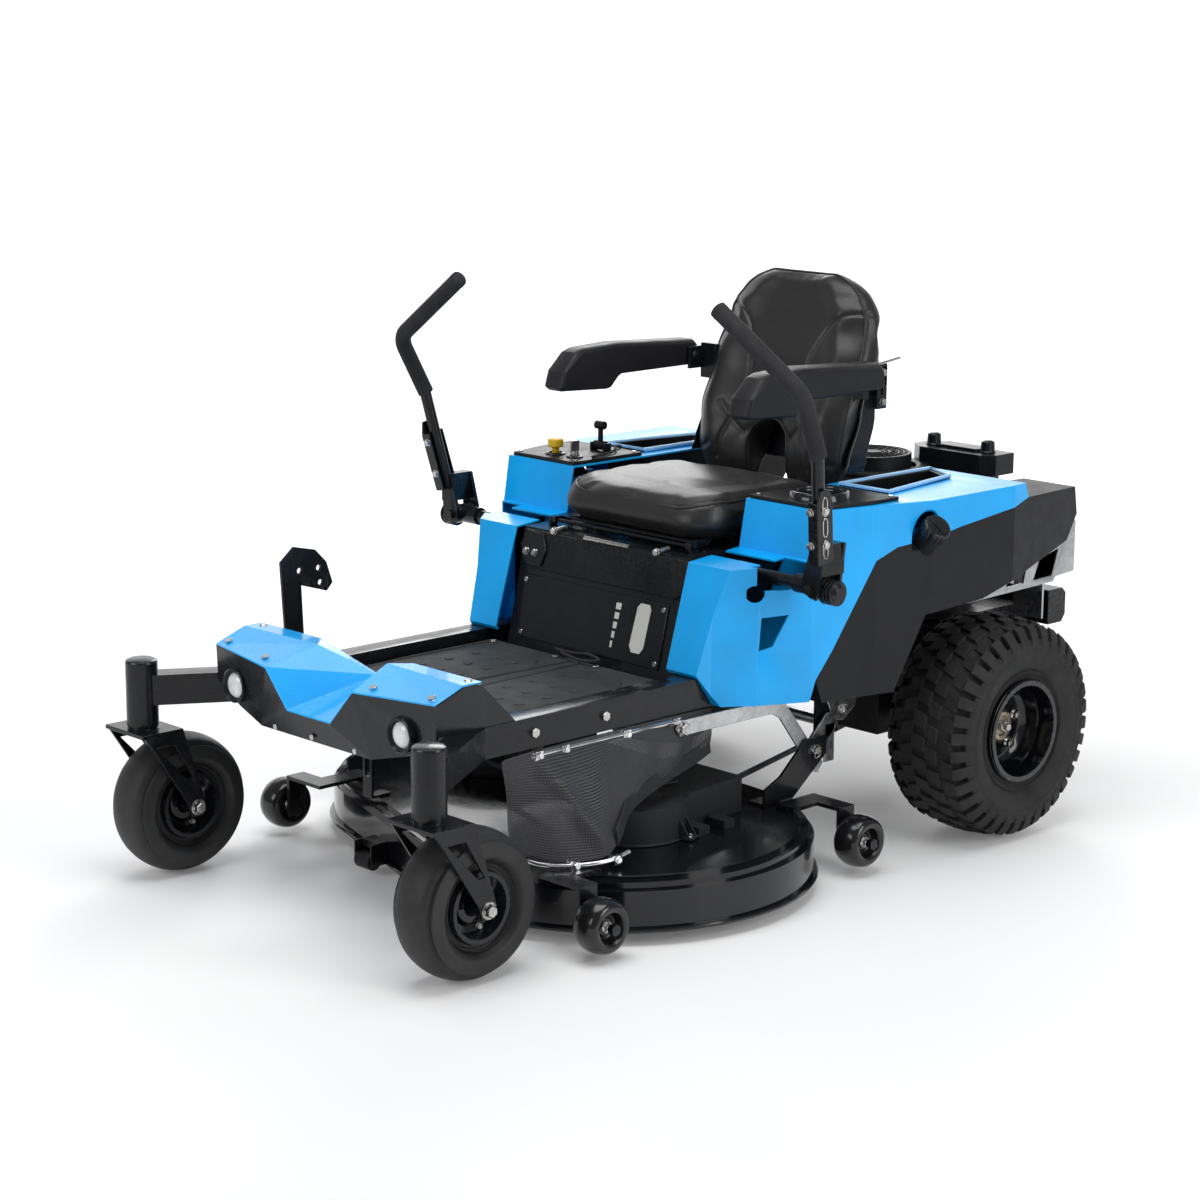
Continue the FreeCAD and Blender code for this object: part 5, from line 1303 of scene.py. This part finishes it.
# Controls, consoles and fittings ------------------------------------------------
def lever_fittings(side, sign):
    """Channel plate with its slots, clamp bolts, ribbed hub boot and grip cap of one lever."""
    body = "lever_" + side
    foot, knee = Vector(mm(sign * 541, -20, 664)), Vector(mm(sign * 562, -52, 812))
    along = (knee - foot).normalized()
    across = Vector((0, 1, 0)) - along * along.y
    across.normalize()
    out = along.cross(across) * sign
    out = out if out.x * sign > 0 else -out
    length = (knee - foot).length
    bm = bmesh.new()
    corners = [(0, -20), (0.86, -18), (1, -10), (1, 8), (0.9, 19), (0, 21)]
    outline = [foot + along * (length * s) + across * (w * MM) + out * 0.0125 for s, w in corners]
    add_prism(bm, outline, out * 0.0045)
    for w in (-0.0205, 0.0185):
        wall = [foot + along * s + across * w + out * d for s, d in
                ((0, 0.0165), (length * 0.84, 0.0165), (length * 0.84, -0.008), (0, -0.008))]
        add_prism(bm, wall, across * 0.0035)
    plate = piece("lever_plate_" + side, bm, "frame", body, angle=25)
    rounded(plate, 0.0010, 2, 25)
    bm = bmesh.new()
    for part in (0.20, 0.50, 0.78):
        middle = foot + along * (length * part) + out * 0.0175
        ring = [middle + along * (0.0135 * math.sin(t) + 0.006 * math.copysign(1, math.sin(t)))
                + across * 0.0062 * math.cos(t)
                for t in [TURN * k / 28 + 0.01 for k in range(28)]]
        add_tube(bm, ring, 0.0011, 8, closed=True)
    for part in (0.26, 0.72):
        spot = foot + along * (length * part) + out * 0.0170
        add_hex(bm, spot, out, 0.013, 0.006)
        spot = foot + along * (length * part) - across * 0.021
        add_hex(bm, spot, -across, 0.013, 0.007)
    bolts = piece("lever_clamp_bolts_" + side, bm, "bolt", body)
    rounded(bolts, 0.0005, 2, 30)
    bm = bmesh.new()
    hub = Vector(mm(sign * 524, 5, 608))
    profile = [(0.0, 0.014)]
    for k in range(4):
        s = 0.014 + 0.0085 * k
        profile += [(0.0245, s), (0.0245, s + 0.0055), (0.0205, s + 0.006), (0.0205, s + 0.0083)]
    profile += [(0.019, 0.049), (0.014, 0.053), (0.0, 0.053)]
    add_lathe(bm, profile, hub + Vector((0, 0, -0.006)), (sign, 0, 0), 40, closed=False)
    boot = piece("lever_hub_boot_" + side, bm, "plastic_gloss", body, angle=30)
    rounded(boot, 0.0008, 2, 30)
    elbow, end = Vector(mm(sign * 580, -119, 996)), Vector(mm(sign * 372, -132, 1137))
    aim = (end - elbow).normalized()
    _, u, v = axes_for(aim)
    bm = bmesh.new()
    add_loft(bm, [circle(end + aim * s, u, v, r, 32) for s, r in
                  ((-0.014, 0.0170), (-0.008, 0.0176), (-0.002, 0.0168), (0.0025, 0.0130),
                   (0.0045, 0.0070))])
    piece("lever_grip_cap_" + side, bm, "foam", body, angle=60)


def console_trim(side, sign):
    """Bin frame and screws on one console, and the cup ring on the left one."""
    bm = bmesh.new()
    plan = [(286, 324), (414, 324), (372, 566), (286, 606)]
    rim = smooth_path([mm(sign * x, y, 741) for x, y in plan + plan[:1]], 1)
    add_tube(bm, rim[:-1], 0.0048, 10, closed=True)
    piece("bin_frame_" + side, bm, "blue_pale", "chassis", angle=60)
    bm = bmesh.new()
    if sign > 0:
        add_lathe(bm, [(0.0455, 0.750), (0.0475, 0.7575), (0.0545, 0.7590), (0.0585, 0.7560),
                       (0.0600, 0.7440), (0.0560, 0.7440), (0.0530, 0.7500)],
                  mm(372, 165, 0), (0, 0, 1), 64)
        piece("cup_ring", bm, "deck", "chassis", angle=50)
        bm = bmesh.new()
    for x, y in ((268, 100), (438, 100), (268, 276), (462, 276)):
        add_rod(bm, mm(sign * x, y, 743.5), mm(sign * x, y, 746.5), 0.0055, 18)
    piece("console_screws_" + side, bm, "bolt", "chassis")


def fuel_cap(side, sign):
    """Knurled cap with a raised grip bar."""
    centre, _ = box_of("fuel_cap_" + side)
    axis = Vector((sign * 32, -8, 34)).normalized()
    _, u, v = axes_for(axis)
    bm = bmesh.new()
    half = 0.012
    rings = []
    for s, grow in ((-half, 1.0), (half - 0.005, 0.985), (half - 0.0012, 0.93), (half, 0.84)):
        ring = []
        for k in range(96):
            t = TURN * k / 96
            rib = 0.0011 * math.copysign(1, math.sin(16 * t)) * (1 if s < half - 0.002 else 0.2)
            radius = 0.0292 * grow + rib
            ring.append(centre + axis * s + (u * math.cos(t) + v * math.sin(t)) * radius)
        rings.append(ring)
    add_loft(bm, rings)
    grip = [centre + axis * (half - 0.001) + u * a + v * b for a, b in
            ((-0.021, -0.005), (0.021, -0.005), (0.021, 0.005), (-0.021, 0.005))]
    add_prism(bm, grip, axis * 0.0035)
    cap = piece("fuel_cap_knurled_" + side, bm, "plastic_gloss", "fuel_cap_" + side,
                ("fuel_cap_" + side,), 30)
    rounded(cap, 0.0006, 2, 30)


def caster_fittings(side, sign):
    """Barrel cap and axle bolts of one front caster."""
    body = "caster_" + side
    bm = bmesh.new()
    x = sign * 434
    add_lathe(bm, [(0.0, 0.4440), (0.024, 0.4435), (0.0300, 0.4410), (0.0318, 0.4375), (0.0318, 0.4362),
                   (0.0, 0.4362)], mm(x, -900, 0), (0, 0, 1), 56, closed=False)
    cap = piece("caster_cap_" + side, bm, "plastic_gloss", "chassis", angle=30)
    rounded(cap, 0.0006, 2)
    bm = bmesh.new()
    for face in (1, -1):
        spot = Vector(mm(x + face * 64.2, -820, 140))
        add_rod(bm, spot, spot + Vector((face * 0.0022, 0, 0)), 0.0165, 28)
        add_hex(bm, spot + Vector((face * 0.002, 0, 0)), (face, 0, 0), 0.019, 0.011)
    axle = piece("caster_axle_bolts_" + side, bm, "bolt", body)
    rounded(axle, 0.0006, 2, 30)


def far_console():
    """Bezels round the key and the blade switch, and a lead, on the right console."""
    bm = bmesh.new()
    for node, r in (("ignition_key", 0.0155), ("blade_switch", 0.0195)):
        centre, _ = box_of(node)
        add_lathe(bm, [(r - 0.004, 0.7442), (r + 0.003, 0.7442), (r + 0.002, 0.7475),
                       (r - 0.002, 0.7490), (r - 0.004, 0.7480)], (centre.x, centre.y, 0),
                  (0, 0, 1), 40)
    bezels = piece("switch_bezels", bm, "plastic_gloss", "chassis", angle=30)
    rounded(bezels, 0.0004, 2)
    bm = bmesh.new()
    lead = smooth_path([mm(-330, 296, 747), mm(-316, 268, 752), mm(-290, 240, 750), mm(-272, 200, 748),
                        mm(-266, 150, 747)], 8)
    add_tube(bm, lead, 0.003, 10)
    piece("console_lead", bm, "foam", "chassis")


def engine_details():
    """Shroud louvres, filters, leads, the silencer's guard and the intake screen's chevrons."""
    bm = bmesh.new()
    for k in range(9):
        z = 556 + 13 * k
        add_lathe(bm, [(0.1385, z * MM), (0.1415, (z + 1.5) * MM), (0.1415, (z + 5) * MM),
                       (0.1385, (z + 6.5) * MM)], mm(0, 745, 0), (0, 0, 1), 72)
    add_lathe(bm, [(0.105, 0.6905), (0.131, 0.6905), (0.134, 0.694), (0.130, 0.700), (0.112, 0.703),
                   (0.103, 0.700)], mm(0, 745, 0), (0, 0, 1), 72)
    shroud = piece("engine_shroud_louvres", bm, "plastic", "chassis", angle=30)
    rounded(shroud, 0.0008, 2)
    bm = bmesh.new()
    add_rod(bm, mm(-120, 640, 452), mm(-120, 552, 452), 0.036, 40)
    add_rod(bm, mm(-120, 556, 452), mm(-120, 548, 452), 0.028, 40)
    piece("oil_filter", bm, "white_can", "chassis")
    bm = bmesh.new()
    for sign in (1, -1):
        lead = smooth_path([mm(sign * 96, 668, 690), mm(sign * 118, 640, 676), mm(sign * 138, 640, 630),
                            mm(sign * 140, 668, 590), mm(sign * 136, 700, 560)], 8)
        add_tube(bm, lead, 0.0042, 10)
    add_tube(bm, smooth_path([mm(40, 880, 700), mm(90, 892, 668), mm(140, 860, 620),
                              mm(150, 800, 560)], 8), 0.0045, 10)
    piece("engine_leads", bm, "foam", "chassis")
    bm = bmesh.new()
    for k in range(10):
        x = -150 + 33 * k
        add_lathe(bm, [(0.0445, (x - 3) * MM), (0.0475, (x - 2) * MM), (0.0475, (x + 2) * MM),
                       (0.0445, (x + 3) * MM)], mm(0, 905, 500), (1, 0, 0), 48)
    piece("silencer_guard", bm, "steel", "chassis", angle=30)
    bm = bmesh.new()
    for x, y in ((62, 890), (214, 890)):
        add_lathe(bm, [(0.0, 0.7630), (0.010, 0.7625), (0.0150, 0.7590), (0.0160, 0.7400),
                       (0.0190, 0.7370), (0.0, 0.7370)], mm(x, y, 0), (0, 0, 1), 24, closed=False)
    add_prism(bm, [mm(x, y, 737) for x, y in ((84, 868), (194, 868), (210, 890), (194, 918),
                                             (84, 918), (70, 890))], (0, 0, 0.006))
    lid = piece("air_filter_knobs", bm, "plastic_gloss", "chassis", angle=30)
    rounded(lid, 0.0014, 2)
    bm = bmesh.new()
    for ring in range(6):
        r = 0.026 + 0.0105 * ring
        count = 10 + 5 * ring
        for k in range(count):
            a = TURN * (k + 0.5 * (ring % 2)) / count
            b = a + math.pi / count
            for s, t in ((a, b), (b, a + TURN / count)):
                shift = 0.004 if s == a else 0.0
                p = Vector(((r + shift) * math.cos(s), 0.745 + (r + shift) * math.sin(s), 0.7288))
                q = Vector(((r + 0.004 - shift) * math.cos(t),
                            0.745 + (r + 0.004 - shift) * math.sin(t), 0.7288))
                add_rod(bm, p, q, 0.0013, 6)
    piece("screen_chevrons", bm, "plastic", "screen")


def seat_rear():
    """Steel straps that carry the backrest from behind, with their bolts."""
    half = Vector((0.022, 0, 0))
    bend = ((404, 669), (442, 682), (478, 718), (498, 800), (522, 890))
    bm = bmesh.new()
    for _, sign in SIDES:
        spine = smooth_path([mm(sign * 110, y, z) for y, z in bend], 6)
        rings = []
        for a, b in zip(spine, spine[1:] + spine[-1:]):
            way = (b - a).normalized() if (b - a).length > 1e-6 else way
            thick = Vector((0, way.z, -way.y)) * 0.005
            rings.append([a - half, a + half, a + half + thick, a - half + thick])
        add_loft(bm, rings)
    straps = piece("seat_straps", bm, "frame", "seat", angle=30)
    rounded(straps, 0.001, 2)
    bm = bmesh.new()
    for _, sign in SIDES:
        for y, z in ((511, 812), (531, 876)):
            add_hex(bm, mm(sign * 110, y, z), (0, 1, -0.3), 0.013, 0.006)
    piece("seat_strap_bolts", bm, "bolt", "seat")


for side, sign in SIDES:
    lever_fittings(side, sign)
    console_trim(side, sign)
    fuel_cap(side, sign)
    caster_fittings(side, sign)
far_console()
engine_details()
seat_rear()

# Room, lights and camera --------------------------------------------------------
CAMERA_AZ = math.radians(46.33)
CAMERA_EL = math.radians(12.27)
CAMERA_ROLL = math.radians(0.361)
CAMERA_AT = (4.046, -3.941, 1.727)
CAMERA_LENS = 84.49


def make_room():
    """A pale floor that curves up into a backdrop, and glows more towards it."""
    reach, back, tall, curve = 14.0, 9.0, 9.0, 3.0
    rows = [(-reach, 0.0), (back - curve, 0.0)]
    rows += [(back - curve + curve * math.sin(a), curve - curve * math.cos(a))
             for a in [math.radians(t) for t in range(10, 91, 10)]]
    rows.append((back, tall))
    mesh = bpy.data.meshes.new("floor")
    bm = bmesh.new()
    rings = [[bm.verts.new((x, y, z)) for x in (-reach, reach)] for y, z in rows]
    for low, high in zip(rings, rings[1:]):
        bm.faces.new((low[0], low[1], high[1], high[0]))
    bm.to_mesh(mesh)
    bm.free()
    floor = bpy.data.objects.new("floor", mesh)
    bpy.context.scene.collection.objects.link(floor)
    floor.rotation_euler = (0, 0, CAMERA_AZ)
    m = Nodes("studio_floor")
    base = m.ramp(m.noise(0.8, 2.0), (0.84, 0.84, 0.845), (0.88, 0.88, 0.88))
    depth = m.add("SeparateXYZ", Vector=m.place).outputs["Y"]
    glow = m.remap(depth, 0.10, 0.72, 0.5, 5.0)
    mesh.materials.append(m.done(Base_Color=base, Roughness=0.62, Emission_Strength=glow,
                                 Emission_Color=(1.0, 1.0, 1.0)))


def area_light(name, place, target, size, power):
    data = bpy.data.lights.new(name, "AREA")
    data.shape = "RECTANGLE"
    data.size, data.size_y = size
    data.energy = power
    light = bpy.data.objects.new(name, data)
    bpy.context.scene.collection.objects.link(light)
    light.location = place
    aim = Vector(target) - Vector(place)
    light.rotation_euler = aim.to_track_quat("-Z", "Y").to_euler()


def make_lights():
    world = bpy.data.worlds.new("studio")
    bpy.context.scene.world = world
    world.use_nodes = True
    background = world.node_tree.nodes["Background"]
    background.inputs["Color"].default_value = (0.95, 0.97, 1.0, 1)
    background.inputs["Strength"].default_value = 0.24
    area_light("top_softbox", (0.4, -0.6, 4.2), (0, 0, 0.4), (3.4, 2.4), 105)
    area_light("left_softbox", (4.2, 0.6, 2.0), (0.2, 0, 0.5), (1.6, 2.6), 70)
    area_light("front_softbox", (-0.8, -4.6, 2.2), (0, -0.2, 0.5), (2.6, 1.6), 55)
    area_light("rear_rim", (-3.2, 3.4, 3.0), (0, 0, 0.7), (2.0, 2.0), 60)


def make_camera():
    data = bpy.data.cameras.new("camera")
    data.lens = CAMERA_LENS
    data.sensor_width = 36.0
    camera = bpy.data.objects.new("camera", data)
    bpy.context.scene.collection.objects.link(camera)
    back = Vector((math.sin(CAMERA_AZ) * math.cos(CAMERA_EL),
                   -math.cos(CAMERA_AZ) * math.cos(CAMERA_EL), math.sin(CAMERA_EL)))
    right = (-back).cross(Vector((0, 0, 1))).normalized()
    up = right.cross(-back)
    r = right * math.cos(CAMERA_ROLL) + up * math.sin(CAMERA_ROLL)
    u = up * math.cos(CAMERA_ROLL) - right * math.sin(CAMERA_ROLL)
    turn = Matrix((r, u, back)).transposed()
    camera.matrix_world = Matrix.Translation(CAMERA_AT) @ turn.to_4x4()
    bpy.context.scene.camera = camera


make_room()
make_lights()
make_camera()
bpy.context.scene.view_settings.view_transform = "Standard"
